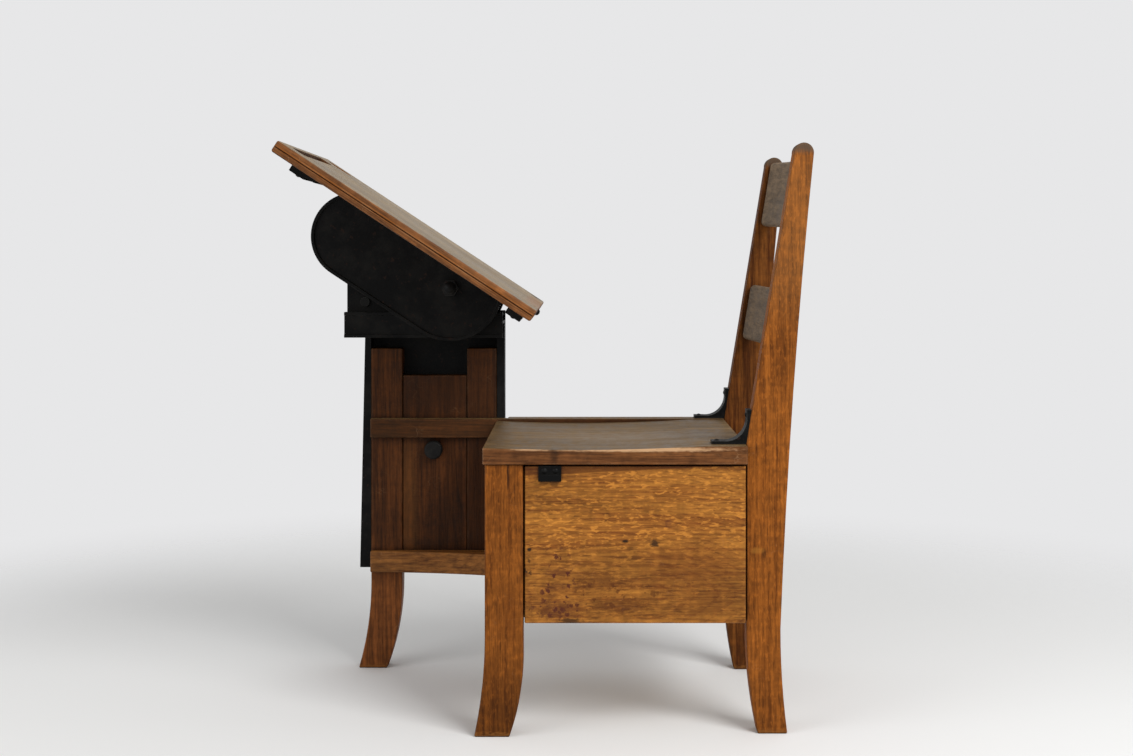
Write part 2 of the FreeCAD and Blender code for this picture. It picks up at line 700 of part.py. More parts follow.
def drawer():
    front_x = ("leg_inset + leg_width + drawer_gap", "seat_depth - drawer_gap")
    front = plank("drawer_front", front_x, ("drawer_recess", DRAWER_BACK_FACE),
                  ("box_bottom", less(SEAT_UNDER, "drawer_gap")))
    screws_z = less(SEAT_UNDER, "drawer_gap + pull_plate + screw_head")
    pull_start = total(front_x[0], "pull_offset")
    screw_x = [total(pull_start, "pull_width / 4"), total(pull_start, "pull_width * 3 / 4")]
    holes = [(x, less(screws_z, "box_bottom")) for x in screw_x]
    cut(front, circles(front, "XZ_Plane", holes, "screw_radius"), "drawer_recess + screw_bite")
    front_side = ("leg_inset + leg_width + drawer_play", DRAWER_INNER_FRONT)
    rear_side = (DRAWER_INNER_REAR, "seat_depth - panel_thickness - drawer_play")
    run = (DRAWER_BACK_FACE, "drawer_length")
    plank("drawer_front_side", front_side, run, (DRAWER_BASE, DRAWER_TOP))
    plank("drawer_rear_side", rear_side, run, (DRAWER_BASE, DRAWER_TOP))
    inside = (DRAWER_INNER_FRONT, DRAWER_INNER_REAR)
    back_face = "drawer_length - drawer_side_thickness"
    plank("drawer_back", inside, (back_face, "drawer_length"), (DRAWER_BASE, DRAWER_TOP))
    bottom = total(DRAWER_BASE, "drawer_bottom_rise")
    plank("drawer_bottom", inside, (DRAWER_BACK_FACE, back_face),
          (bottom, total(bottom, "drawer_bottom_thickness")), None)
    drawer_pull(pull_start, screw_x, screws_z)


def drawer_pull(start, screw_x, screws_z):
    top = less(SEAT_UNDER, "drawer_gap")
    foot = less(top, "pull_height")
    face = "drawer_recess - pull_plate"
    lip = "drawer_recess - pull_depth"
    body = new_body("drawer_pull", start)
    pad(body, outline(body, "YZ_Plane", [
        ("drawer_recess", foot),
        ("drawer_recess", top),
        (face, top),
        (face, total(foot, "pull_wall")),
        (f"{lip} + pull_wall", total(foot, "pull_wall")),
        (f"{lip} + pull_wall", total(foot, "pull_lip")),
        (lip, total(foot, "pull_lip")),
        (lip, foot),
    ]), "pull_width")
    ease(body, "iron_round")
    holes = [(less(x, start), screws_z) for x in screw_x]
    cut(body, circles(body, "XZ_Plane", holes, "screw_radius"))
    keep(body)
    screws = []
    for number, x in enumerate(screw_x, start=1):
        screw = new_body(f"pull_screw_{number}", x, face, screws_z)
        cap_x, cap_height = dome("screw_head", "screw_dome")
        turned(screw, "XY_Plane", "V_Axis", [
            ("0", "-screw_dome"),
            ("0", "pull_plate + screw_bite"),
            ("screw_radius", "pull_plate + screw_bite"),
            ("screw_radius", "0"),
            ("screw_head", "0", (cap_x, f"-({cap_height})")),
        ])
        slot = rectangle("-screw_head", "screw_head", "-screw_slot / 2", "screw_slot / 2")
        cut(screw, outline(screw, "XZ_Plane", slot, "screw_dome"), "slot_depth")
        screws.append(screw)
    group("pull_screws", screws)


# Iron standard that slides on the pedestal, with the head rail on top

RIVET_SHARES = (0.06, 0.35, 0.65, 0.94)


def standard():
    rivet_z = [f"standard_bottom + ({share}) * (head_bottom - standard_bottom)" for share in RIVET_SHARES]
    front_x = "-pedestal_depth - slide_gap - front_guide_metal / 2"
    rear_x = "slide_gap + rear_guide_metal / 2"
    spots = [(x, z) for x in (front_x, rear_x) for z in rivet_z]
    flared = less(GUIDE_FRONT, "guide_flare")
    plate = side_cut("standard_plate", [
        (flared, "standard_bottom"),
        (GUIDE_REAR, "standard_bottom"),
        (GUIDE_REAR, HEAD_TOP),
        (GUIDE_FRONT, HEAD_TOP),
    ], PLATE_FACE, "standard_metal")
    ease(plate, "iron_round")
    half = "stud_radius + slot_gap"
    slot_left = less(KNOB_X, half)
    slot_right = total(KNOB_X, half)
    low = less(KNOB_Z, "lift_travel")
    high = total(KNOB_Z, "drop_travel")
    slot = outline(plate, "XZ_Plane", [
        (slot_left, low, (KNOB_X, less(low, half))),
        (slot_right, low),
        (slot_right, high, (KNOB_X, total(high, half))),
        (slot_left, high),
    ])
    cut(plate, slot)
    cut(plate, circles(plate, "XZ_Plane", spots, "rivet_radius"))
    keep(plate)
    guide_y = (total(PEDESTAL_FACE, "guide_inset"), PLATE_FACE)
    guide_z = ("standard_bottom", FLOOR_BOTTOM)
    stile_face = "-pedestal_depth - slide_gap"
    front_face = [
        (flared, guide_z[0]),
        (stile_face, guide_z[0]),
        (stile_face, guide_z[1]),
        (GUIDE_FRONT, guide_z[1]),
    ]
    guides = (("standard_front_guide", front_face, front_x),
              ("standard_rear_guide", rectangle("slide_gap", GUIDE_REAR, *guide_z), rear_x))
    for label, face, centre in guides:
        guide = side_cut(label, face, guide_y[0], less(guide_y[1], guide_y[0]))
        ease(guide, "iron_round")
        holes = circles(guide, "XZ_Plane", [(centre, z) for z in rivet_z], "rivet_radius",
                        f"-({less(guide_y[1], guide_y[0])})")
        cut(guide, holes, "screw_bite", reverse=True)
        keep(guide)
    rivets = []
    for number, (x, z) in enumerate(spots, start=1):
        rivet = new_body(f"rivet_{number}", x, PLATE_BACK, z)
        tip = "-standard_metal - screw_bite"
        turned(rivet, "XY_Plane", "V_Axis", [
            ("0", tip),
            ("rivet_radius", tip),
            ("rivet_radius", "0"),
            ("rivet_head", "0", dome("rivet_head", "rivet_dome")),
            ("0", "rivet_dome"),
        ])
        rivets.append(rivet)
    group("standard_rivets", rivets)


def head_rail():
    inner_near = "head_near + head_wall"
    inner_far = less(PLATE_FACE, "head_wall")
    ridge = "head_near - head_ridge"
    lip_under = less(HEAD_TOP, "head_wall")
    near_lip = "head_near + head_lip"
    far_lip = less(PLATE_FACE, "head_lip")
    body = new_body("head_rail", HEAD_FRONT)
    pad(body, outline(body, "YZ_Plane", [
        (ridge, "head_bottom"),
        (inner_near, "head_bottom"),
        (inner_near, FLOOR_BOTTOM),
        (PLATE_FACE, FLOOR_BOTTOM),
        (PLATE_FACE, HEAD_TOP),
        (far_lip, HEAD_TOP),
        (far_lip, lip_under),
        (inner_far, lip_under),
        (inner_far, FLOOR_TOP),
        (inner_near, FLOOR_TOP),
        (inner_near, lip_under),
        (near_lip, lip_under),
        (near_lip, HEAD_TOP),
        (ridge, HEAD_TOP),
        (ridge, less(HEAD_TOP, "ridge_height")),
        ("head_near", less(HEAD_TOP, "ridge_height")),
        ("head_near", "head_bottom + ridge_height"),
        (ridge, "head_bottom + ridge_height"),
    ]), less(GUIDE_REAR, HEAD_FRONT))
    ease(body, "iron_round")
    return keep(body)


# Carriage that slides along the head rail and holds the pivot

def tube(label, start, end, inner):
    """Bush on the pivot bolt."""
    body = new_body(label, PIVOT_X, start, PIVOT_Z)
    turned(body, "XY_Plane", "V_Axis", rectangle(inner, "bush_radius", "0", less(end, start)))
    return keep(body)


def carriage():
    rear = total(CARRIAGE_FRONT, "carriage_length")
    near_edge = "head_near + head_wall + slide_gap"
    far_edge = less(PLATE_FACE, "head_wall", "slide_gap")
    plank("carriage_base", (CARRIAGE_FRONT, rear), (near_edge, far_edge),
          (CARRIAGE_BOTTOM, CARRIAGE_TOP), "iron_round")
    stay_x = total(CARRIAGE_FRONT, "spacer_from_end")
    stay_z = less(PIVOT_Z, "spacer_drop")
    top = f"{PIVOT_Z} + cheek_round"
    for label, start in (("near_cheek", NEAR_CHEEK), ("far_cheek", FAR_CHEEK)):
        cheek = side_cut(label, [
            (CARRIAGE_FRONT, CARRIAGE_TOP),
            (rear, CARRIAGE_TOP),
            (f"{PIVOT_X} + cheek_round", PIVOT_Z,
             (f"{PIVOT_X} + cheek_round * cos(45)", f"{PIVOT_Z} + cheek_round * sin(45)")),
            (PIVOT_X, top),
            (CARRIAGE_FRONT, top),
        ], start, "cheek_thickness")
        ease(cheek, "iron_round")
        cut(cheek, circles(cheek, "XZ_Plane", [(PIVOT_X, PIVOT_Z)], "bolt_radius"))
        cut(cheek, circles(cheek, "XZ_Plane", [(stay_x, stay_z)], "spacer_neck"))
        keep(cheek)
    gap = less(FAR_CHEEK, NEAR_CHEEK, "cheek_thickness")
    far_face = total(gap, "cheek_thickness")
    stay = new_body("cheek_stay", stay_x, total(NEAR_CHEEK, "cheek_thickness"), stay_z)
    turned(stay, "XY_Plane", "V_Axis", [
        ("0", "-cheek_thickness - spacer_neck"),
        ("spacer_head", "-cheek_thickness - spacer_neck"),
        ("spacer_head", "-cheek_thickness"),
        ("spacer_neck", "-cheek_thickness"),
        ("spacer_neck", "0"),
        ("spacer_radius", "0"),
        ("spacer_radius", gap),
        ("spacer_neck", gap),
        ("spacer_neck", far_face),
        ("spacer_head", far_face),
        ("spacer_head", total(far_face, "spacer_neck")),
        ("0", total(far_face, "spacer_neck")),
    ])
    keep(stay)
    near_end = total(NEAR_WEB, "sector_web + slide_gap")
    tube("near_bush", near_end, NEAR_CHEEK, "bolt_radius")
    tube("middle_bush", total(NEAR_CHEEK, "cheek_thickness"), FAR_CHEEK, "bolt_radius")
    tube("far_bush", total(FAR_CHEEK, "cheek_thickness"), less(FAR_WEB, "slide_gap"), "bolt_radius")
    tip = less(NEAR_WEB, "slide_gap", "nut_height", "nut_dome", "-nut_wall")
    head_face = total(FAR_WEB, "sector_web + slide_gap")
    bolt = new_body("pivot_bolt", PIVOT_X, tip, PIVOT_Z)
    length = less(head_face, tip)
    turned(bolt, "XY_Plane", "V_Axis", [
        ("0", "0"),
        ("bolt_radius", "0"),
        ("bolt_radius", length),
        ("bolt_head_radius", length),
        ("bolt_head_radius", total(length, "bolt_head_height")),
        ("0", total(length, "bolt_head_height")),
    ])
    keep(bolt)


def tilt_nut():
    corner = "nut_flats / 2 / cos(30)"
    hexagon = [(f"{corner} * cos({turn})", f"{corner} * sin({turn})") for turn in range(0, 360, 60)]
    seat_face = less(NEAR_WEB, "slide_gap")
    body = new_body("tilt_nut", PIVOT_X, seat_face, PIVOT_Z)
    pad(body, outline(body, "XZ_Plane", hexagon), "nut_height")
    doc.recompute()
    rim = "nut_flats / 2 - edge_round / 2"
    cap_x, cap_height = dome(rim, "nut_dome")
    turned(body, "XY_Plane", "V_Axis", [
        ("0", "-nut_height"),
        (rim, "-nut_height", (cap_x, f"-nut_height - ({cap_height})")),
        ("0", "-nut_height - nut_dome"),
    ])
    bore = circles(body, "XZ_Plane", [("0", "0")], "bolt_radius + bore_gap")
    cut(body, bore, "nut_height + nut_dome - nut_wall + slide_gap", reverse=True)
    return keep(body)


# Desktop, drawn about the pivot with the board level, then tilted

def tilted(x, z):
    """Place of a point of the tilted desktop."""
    return (f"{PIVOT_X} + ({x}) * cos(desk_tilt) + ({z}) * sin(desk_tilt)",
            f"{PIVOT_Z} - ({x}) * sin(desk_tilt) + ({z}) * cos(desk_tilt)")


UPPER_CLEAT = "-board_up + cleat_margin_up"
LOWER_CLEAT = "board_down - cleat_margin_down"
CLEAT_NEAR = "cleat_start - board_overhang"
FLANGE_START = total(UPPER_CLEAT, "cleat_width + cleat_foot")
FLANGE_END = less(LOWER_CLEAT, "cleat_width")
FLANGE_SCREWS = ("-sector_reach", "-sector_reach / 3")
NEAR_SCREWS = less(NEAR_WEB, "(flange_width - sector_web) / 2")
FAR_SCREWS = less(FAR_WEB, "(flange_width - sector_web) / 2")
END_SCREWS = total(CLEAT_NEAR, "cleat_screw")
UPPER_SCREWS = [(total(UPPER_CLEAT, "cleat_width / 2"), y) for y in (END_SCREWS, NEAR_SCREWS)]
LOWER_SCREWS = [(less(LOWER_CLEAT, "cleat_width / 2"), y) for y in (END_SCREWS, NEAR_SCREWS, FAR_SCREWS)]
DESK_SCREWS = (
    [(x, y, "flange_metal") for x in FLANGE_SCREWS for y in (NEAR_SCREWS, FAR_SCREWS)]
    + [(x, y, "cleat_metal") for x, y in UPPER_SCREWS + LOWER_SCREWS]
)


def desk_board():
    under = "pivot_to_board"
    body = side_cut("desk_board", rectangle("-board_up", "board_down", under, BOARD_TOP),
                    "-board_overhang", "board_width", "desk_tilt", PIVOT_X, PIVOT_Z)
    ease(body, "board_round")
    bead_top = less(BOARD_TOP, "bead_from_top")
    bead = rectangle("0", "bead_width", less(bead_top, "bead_width"), bead_top)
    cut(body, outline(body, "YZ_Plane", bead))
    left = "-board_up + groove_from_edge"
    right = total(left, "groove_width")
    middle = total(left, "groove_width / 2")
    near = "groove_start + groove_width / 2"
    far = "groove_start + groove_length - groove_width / 2"
    groove = outline(body, "XY_Plane", [
        (left, near, (middle, "groove_start")),
        (right, near),
        (right, far, (middle, "groove_start + groove_length")),
        (left, far),
    ], BOARD_TOP)
    cut(body, groove, "groove_depth")
    inkwell = ("-board_up + inkwell_from_top", "board_width - inkwell_from_side")
    cut(body, circles(body, "XY_Plane", [inkwell], "inkwell_radius"))
    holes = [(x, total(y, "board_overhang")) for x, y, metal in DESK_SCREWS]
    cut(body, circles(body, "XY_Plane", holes, "screw_radius"), total(under, "screw_bite"), reverse=True)
    button = circles(body, "YZ_Plane", [("board_width * button_share", total(under, "board_thickness / 2"))],
                     "screw_radius", "board_down")
    cut(body, button, "screw_bite")
    return keep(body)


def sector(label, rim_start, flange_start, rim_face, toward_near):
    """Sector plate: a web with a rim along its lower edge, and a flange under the board."""
    body = side_cut(label, sector_outline("0"), rim_start, "sector_web + sector_rim", "desk_tilt",
                    PIVOT_X, PIVOT_Z)
    hollow = outline(body, "XZ_Plane", sector_outline("sector_rim_width"), f"-({less(rim_face, rim_start)})")
    cut(body, hollow, "sector_rim", reverse=toward_near)
    flange = rectangle(FLANGE_START, FLANGE_END, "pivot_to_board - flange_metal", "pivot_to_board")
    pad(body, outline(body, "XZ_Plane", flange, less(rim_start, flange_start)), "flange_width", reverse=True)
    ease(body, "iron_round")
    cut(body, circles(body, "XZ_Plane", [("0", "0")], "bolt_radius + bore_gap"))
    screw_y = total(less(flange_start, rim_start), "(flange_width - sector_web) / 2")
    cut(body, circles(body, "XY_Plane", [(x, screw_y) for x in FLANGE_SCREWS], "screw_radius"))
    return keep(body)


def sector_outline(margin):
    """Two round lobes joined by a straight lower edge, drawn in by a margin below the board."""
    lobe = f"sector_lobe - ({margin})"
    hub = f"sector_radius - ({margin})"
    centre = "sector_lobe - sector_radius"
    top = f"pivot_to_board - ({margin}) * flange_metal / sector_rim_width"
    front = f"-sector_reach - sqrt(({lobe}) ^ 2 - ({top} - ({centre})) ^ 2)"
    rear = f"sqrt(({hub}) ^ 2 - ({top}) ^ 2)"
    low = f"-({hub})"
    return [
        (front, top, (f"-sector_reach - ({lobe})", centre)),
        ("-sector_reach", low),
        ("0", low, (f"({hub}) * cos(45)", f"-({hub}) * sin(45)")),
        (rear, top),
    ]


def cleat(label, corners, end, screws):
    """Iron bar across the underside of the desktop."""
    length = less(end, CLEAT_NEAR)
    body = side_cut(label, corners, CLEAT_NEAR, length, "desk_tilt", PIVOT_X, PIVOT_Z)
    ease(body, "iron_round")
    cut(body, circles(body, "XY_Plane", [(x, less(y, CLEAT_NEAR)) for x, y in screws], "screw_radius"))
    return keep(body)


def cleats():
    """The upper cleat stops at the near sector plate, short of the inkwell hole."""
    under = "pivot_to_board - cleat_metal"
    foot = "pivot_to_board - cleat_foot_metal"
    step = total(UPPER_CLEAT, "cleat_width")
    cleat("upper_cleat", [
        (UPPER_CLEAT, under),
        (step, under),
        (step, foot),
        (FLANGE_START, foot),
        (FLANGE_START, "pivot_to_board"),
        (UPPER_CLEAT, "pivot_to_board"),
    ], total(NEAR_WEB, "sector_web"), UPPER_SCREWS)
    cleat("lower_cleat", rectangle(FLANGE_END, LOWER_CLEAT, under, "pivot_to_board"),
          total(FAR_WEB, "sector_web"), LOWER_SCREWS)


def desk_fittings():
    far_rim = total(FAR_WEB, "sector_web + sector_rim")
    near_rim = less(NEAR_WEB, "sector_rim")
    sector("near_sector", near_rim, less(NEAR_WEB, "flange_width - sector_web"), near_rim, False)
    sector("far_sector", FAR_WEB, less(FAR_WEB, "flange_width - sector_web"), far_rim, True)
    screws = []
    for number, (x, y, metal) in enumerate(DESK_SCREWS, start=1):
        head_x, head_z = tilted(x, less("pivot_to_board", metal))
        screws.append(wood_screw(f"desk_screw_{number}", metal, head_x, y, head_z, "desk_tilt + 180"))
    group("desk_screws", screws)
    button_x, button_z = tilted("board_down", "pivot_to_board + board_thickness / 2")
    button_y = "board_width * button_share - board_overhang"
    button = new_body("edge_button", button_x, button_y, button_z, "desk_tilt")
    cap_radius, cap_height = dome("button_radius", "button_height")
    turned(button, "XY_Plane", "H_Axis", [
        ("-screw_bite", "0"),
        ("button_height", "0", (cap_height, cap_radius)),
        ("0", "button_radius"),
        ("0", "screw_radius"),
        ("-screw_bite", "screw_radius"),
    ])
    keep(button)


front_leg()
rear_post("left_rear_post", "post_inset", "seat_height")
rear_post("right_rear_post", FAR_POST, RAIL_TOP)
slat("crest_slat", CREST_BOTTOM, "crest_height")
slat("lower_slat", LOWER_SLAT_BOTTOM, "lower_slat_height")
seat()
seat_rail()
lower_rail()
drawer_box()
braces()
pedestal()
height_clamp()
drawer()
standard()
head_rail()
carriage()
tilt_nut()
desk_board()
cleats()
desk_fittings()
doc.recompute()

for thing in doc.Objects:
    if "Invalid" in thing.State or "Error" in thing.State:
        raise RuntimeError(f"{thing.Label} failed: {thing.State}")
box = FreeCAD.BoundBox()
for piece in pieces:
    if piece.Shape.isNull() or not piece.Shape.isValid():
        raise RuntimeError(f"{piece.Label} has no valid shape")
    box.add(piece.Shape.optimalBoundingBox(False, False))

# The origin goes to the middle of the footprint, on the floor.
to_origin = FreeCAD.Vector(-box.Center.x, -box.Center.y, -box.ZMin)
os.makedirs("parts", exist_ok=True)
for piece in pieces:
    shape = piece.Shape.copy()
    shape.translate(to_origin)
    shape.exportStep(f"parts/{piece.Label}.step")
    print(f"{piece.Label}: {len(shape.Solids)} solids, {shape.Volume / 1000:.1f} cm3")

pivot = FreeCAD.Vector(value(PIVOT_X), value(NEAR_WEB), value(PIVOT_Z)) + to_origin
knob = FreeCAD.Vector(value(KNOB_X), value(KNOB_BACK), value(KNOB_Z)) + to_origin
print(f"size {box.XLength:.1f} x {box.YLength:.1f} x {box.ZLength:.1f}, moved by {to_origin}")
print(f"tilt pivot {pivot}, height knob {knob}")
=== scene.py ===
import json
import math
from collections import namedtuple

import bpy
from bpy.props import FloatProperty, FloatVectorProperty, PointerProperty
from mathutils import Euler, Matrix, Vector


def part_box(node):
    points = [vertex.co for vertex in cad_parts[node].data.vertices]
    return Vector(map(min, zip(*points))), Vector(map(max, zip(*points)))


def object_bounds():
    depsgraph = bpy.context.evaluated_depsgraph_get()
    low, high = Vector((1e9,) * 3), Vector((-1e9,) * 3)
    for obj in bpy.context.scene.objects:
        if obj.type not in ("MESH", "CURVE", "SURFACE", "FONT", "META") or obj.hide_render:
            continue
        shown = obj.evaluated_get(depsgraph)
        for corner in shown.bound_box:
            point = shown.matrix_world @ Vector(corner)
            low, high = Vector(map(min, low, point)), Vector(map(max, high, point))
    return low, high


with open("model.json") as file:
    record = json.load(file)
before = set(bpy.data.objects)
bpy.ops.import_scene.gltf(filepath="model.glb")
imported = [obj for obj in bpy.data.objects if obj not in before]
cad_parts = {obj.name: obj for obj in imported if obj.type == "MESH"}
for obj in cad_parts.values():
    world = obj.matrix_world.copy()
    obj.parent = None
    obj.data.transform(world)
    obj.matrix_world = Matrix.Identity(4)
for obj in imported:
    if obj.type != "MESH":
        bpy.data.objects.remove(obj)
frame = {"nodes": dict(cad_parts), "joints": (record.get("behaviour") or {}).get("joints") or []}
CAD_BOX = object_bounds()

bl_info = {
    "name": "School Chair-Desk",
    "version": (1, 0, 0),
    "blender": (4, 5, 0),
    "location": "3D View > Sidebar > Chair-Desk",
    "description": "Finishes a school chair and its tilting desktop in oak and iron, with a studio",
    "category": "Object",
}

# The picture that the camera matches, in pixels
PICTURE_WIDTH = 1133
PICTURE_HEIGHT = 756

# Slope of the desktop, which its joint takes back to level
TILT_JOINT = next(joint for joint in frame["joints"] if joint["name"] == "desk_tilt")
TILT = -math.radians(TILT_JOINT["range_deg"][0])


def linear(code):
    """Scene colour of a six-digit colour code."""
    shares = [int(code[start:start + 2], 16) / 255 for start in (0, 2, 4)]
    return tuple(s / 12.92 if s <= 0.04045 else ((s + 0.055) / 1.055) ** 2.4 for s in shares)


def colour(name, description, code):
    """Colour property with its default given as a colour code."""
    return FloatVectorProperty(name=name, description=description, subtype="COLOR", size=3, min=0, max=1,
                               default=linear(code))


def length(name, description, metres):
    """Length property in metres."""
    return FloatProperty(name=name, description=description, unit="LENGTH", min=0, precision=4,
                         default=metres)


def share(name, description, default):
    """Property from nothing to full."""
    return FloatProperty(name=name, description=description, subtype="FACTOR", min=0, max=1,
                         default=default)


class ChairDeskLooks(bpy.types.PropertyGroup):
    """Colours and wear of the chair-desk's finishes, among them colours darkened as painted shade."""
    frame_light: colour("Frame oak", "Varnished oak of the leg and posts", "8f521c")
    frame_dark: colour("Frame oak grain", "Grain of the leg and posts", "4f2609")
    drawer_light: colour("Drawer oak", "Golden oak of the drawer front", "9f6727")
    drawer_dark: colour("Drawer oak grain", "Grain of the drawer front", "673610")
    # The pedestal's colours, which the seat rail also takes, are darkened partly as painted shade under the
    # desk and seat.
    pedestal_light: colour("Pedestal oak", "Darkened oak of the pedestal", "502c12")
    pedestal_dark: colour("Pedestal oak grain", "Grain of the pedestal", "2b1607")
    # The far rear post's colours are darkened as painted shade.
    far_light: colour("Far post oak", "Darkened oak of the far rear post", "72431a")
    far_dark: colour("Far post oak grain", "Grain of the far rear post", "401e09")
    shelf_light: colour("Lower rail oak", "Top of the lower rail", "8f5d2c")
    shelf_dark: colour("Lower rail oak grain", "Grain of the lower rail", "563215")
    seat_light: colour("Seat edge oak", "Reddish oak of the seat's edges", "7e4f2a")
    seat_dark: colour("Seat edge oak grain", "Grain of the seat's edges", "4c2c16")
    worn_light: colour("Worn oak", "Tops of the seat and its rail, worn grey", "806642")
    worn_dark: colour("Worn oak grain", "Grain of the worn tops", "564126")
    slat_light: colour("Slat oak", "Greyed back slats", "7d6a55")
    slat_dark: colour("Slat oak grain", "Grain of the back slats", "54473a")
    desk_light: colour("Desk oak", "Bleached face of the desktop", "9d8c74")
    desk_dark: colour("Desk oak grain", "Grain of the desktop's face", "7b6951")
    rim_light: colour("Desk edge oak", "Varnished edges of the desktop", "915b30")
    rim_dark: colour("Desk edge oak grain", "Grain of the desktop's edges", "482a14")
    inner_light: colour("Inner wood", "Unfinished wood inside the drawer box", "a88a5b")
    inner_dark: colour("Inner wood grain", "Grain of the unfinished wood", "7a5a34")
    bare: colour("Bare edge", "Edges rubbed down to bare wood", "c39a72")
    # Soil also darkens joints, corners and grooves, where it is painted shade as well as dirt.
    soil: colour("Soil", "Handling dirt and old ink", "1c110a")
    ink: colour("Red ink", "Faded red ink on the drawer front", "4a1f14")
    iron_skin: colour("Black iron", "Japanned iron", "080808")
    iron_dust: colour("Dusty iron", "Patches of the iron that are dull and dusty", "262523")
    iron_rub: colour("Rubbed iron", "Edges of the iron, rubbed bright", "41403d")
    rust: colour("Rust", "Rust where the black skin is chipped", "2c1e18")
    steel: colour("Dark steel", "Blackened screws, bolts and knob", "0c0c0c")
    ring_spacing: length("Ring spacing", "Distance between growth rings", 0.0056)
    edge_width: length("Edge wear", "Width of the rubbed edges", 0.0042)
    # The reach is that of the dirt and painted shade in joints and corners.
    dirt_and_shade_reach: length("Dirt reach", "How far dirt spreads from joints and corners", 0.014)
    grain_relief: share("Grain relief", "Strength of the grain in the surface", 0.3)


class ChairDeskStage(bpy.types.PropertyGroup):
    """Camera and light."""
    camera_place: FloatVectorProperty(name="Camera", description="Place of the camera", unit="LENGTH",
                                      subtype="TRANSLATION", size=3, default=(0.0419, -2.308, 0.629))
    lens: FloatProperty(name="Lens", description="Focal length in millimetres", unit="CAMERA", default=51.4)
    axis_x: FloatProperty(name="Axis across", description="Picture column of the camera's axis, in pixels",
                          default=582.0)
    axis_y: FloatProperty(name="Axis down", description="Picture row of the camera's axis, in pixels",
                          default=255.0)
    floor: colour("Floor", "Pale studio floor", "f1f1f0")
    backdrop: colour("Backdrop", "Pale surround behind the object", "e7e7e8")
    ambient: FloatProperty(name="Ambient", description="Strength of the light from all round", min=0,
                           default=0.5)
    key: FloatProperty(name="Key", description="Main lamp", unit="POWER", min=0, default=78.0)
    fill: FloatProperty(name="Fill", description="Side lamp", unit="POWER", min=0, default=22.0)


# Small tools for node trees

# Numbers of the Mix node's sockets for colours
MIX_FACTOR = 0
MIX_FIRST = 6
MIX_SECOND = 7
MIX_RESULT = 2

# Kinds of a group's sockets
FLOAT = "NodeSocketFloat"
VECTOR = "NodeSocketVector"

# A noise: its scales along the axes, detail and roughness, and the level that it swings about
Field = namedtuple("Field", "scales detail roughness", defaults=(2, 0.5))
NOISE_MIDDLE = 0.5


def feed(tree, socket, value):
    """Links a socket or sets its value. A colour of three parts gets its opacity."""
    if isinstance(value, bpy.types.NodeSocket):
        tree.links.new(value, socket)
    elif socket.type == "RGBA" and len(value) == 3:
        socket.default_value = (*value, 1)
    else:
        socket.default_value = value


def add(tree, kind, inputs=None, **settings):
    """New node with its settings, and its inputs by name or number."""
    made = tree.nodes.new(kind)
    for name, setting in settings.items():
        setattr(made, name, setting)
    for key, value in (inputs or {}).items():
        feed(tree, made.inputs[key], value)
    return made


def calc(tree, operation, *values):
    """Result of a Math node."""
    return add(tree, "ShaderNodeMath", dict(enumerate(values)), operation=operation).outputs[0]


def vector_calc(tree, operation, *values):
    """Result of a Vector Math node."""
    made = add(tree, "ShaderNodeVectorMath", dict(enumerate(values)), operation=operation)
    return made.outputs["Value" if operation in ("LENGTH", "DOT_PRODUCT") else "Vector"]


def scaled(tree, mask, strength):
    """Mask at a share of its strength, or within another mask."""
    return calc(tree, "MULTIPLY", mask, strength)


def ramp(tree, value, low, high, start=0.0, end=1.0):
    """Smooth step of a value from one level to another."""
    inputs = {"Value": value, "From Min": low, "From Max": high, "To Min": start, "To Max": end}
    return add(tree, "ShaderNodeMapRange", inputs, interpolation_type="SMOOTHSTEP").outputs["Result"]


def fall(tree, value, low, high):
    """Smooth step of a value from full to nothing."""
    return ramp(tree, value, low, high, 1.0, 0.0)


def mixed(tree, factor, first, second, blend="MIX"):
    """Two colours mixed by a mask."""
    inputs = {MIX_FACTOR: factor, MIX_FIRST: first, MIX_SECOND: second}
    return add(tree, "ShaderNodeMix", inputs, data_type="RGBA", blend_type=blend).outputs[MIX_RESULT]


def coordinate(tree, vector, axis):
    """A vector's part along an axis."""
    return add(tree, "ShaderNodeSeparateXYZ", {"Vector": vector}).outputs[axis]


def noise(tree, vector, field):
    """Outputs of a noise."""
    place = vector_calc(tree, "MULTIPLY", vector, field.scales)
    inputs = {"Vector": place, "Scale": 1.0, "Detail": field.detail, "Roughness": field.roughness}
    return add(tree, "ShaderNodeTexNoise", inputs).outputs


def swing(tree, vector, field):
    """Noise about nothing."""
    return calc(tree, "SUBTRACT", noise(tree, vector, field)["Fac"], NOISE_MIDDLE)


def vector_swing(tree, vector, field):
    """Noise about nothing in each direction."""
    return vector_calc(tree, "SUBTRACT", noise(tree, vector, field)["Color"], [NOISE_MIDDLE] * 3)


def new_group(name, inputs, outputs):
    """Empty node group, with the sockets that its inside reads and fills."""
    tree = bpy.data.node_groups.new(name, "ShaderNodeTree")
    for label, kind in inputs.items():
        tree.interface.new_socket(label, in_out="INPUT", socket_type=kind)
    for label in outputs:
        tree.interface.new_socket(label, in_out="OUTPUT", socket_type=FLOAT)
    return tree, add(tree, "NodeGroupInput").outputs, add(tree, "NodeGroupOutput").inputs


def use_group(tree, name, inputs):
    """Outputs of a shared group placed in a tree, built the first time."""
    group = bpy.data.node_groups.get(name) or GROUPS[name](name)
    return add(tree, "ShaderNodeGroup", inputs, node_tree=group).outputs


# Oak figure: its noises, how its rings wander and slant, and the levels where each kind of line begins and
# ends

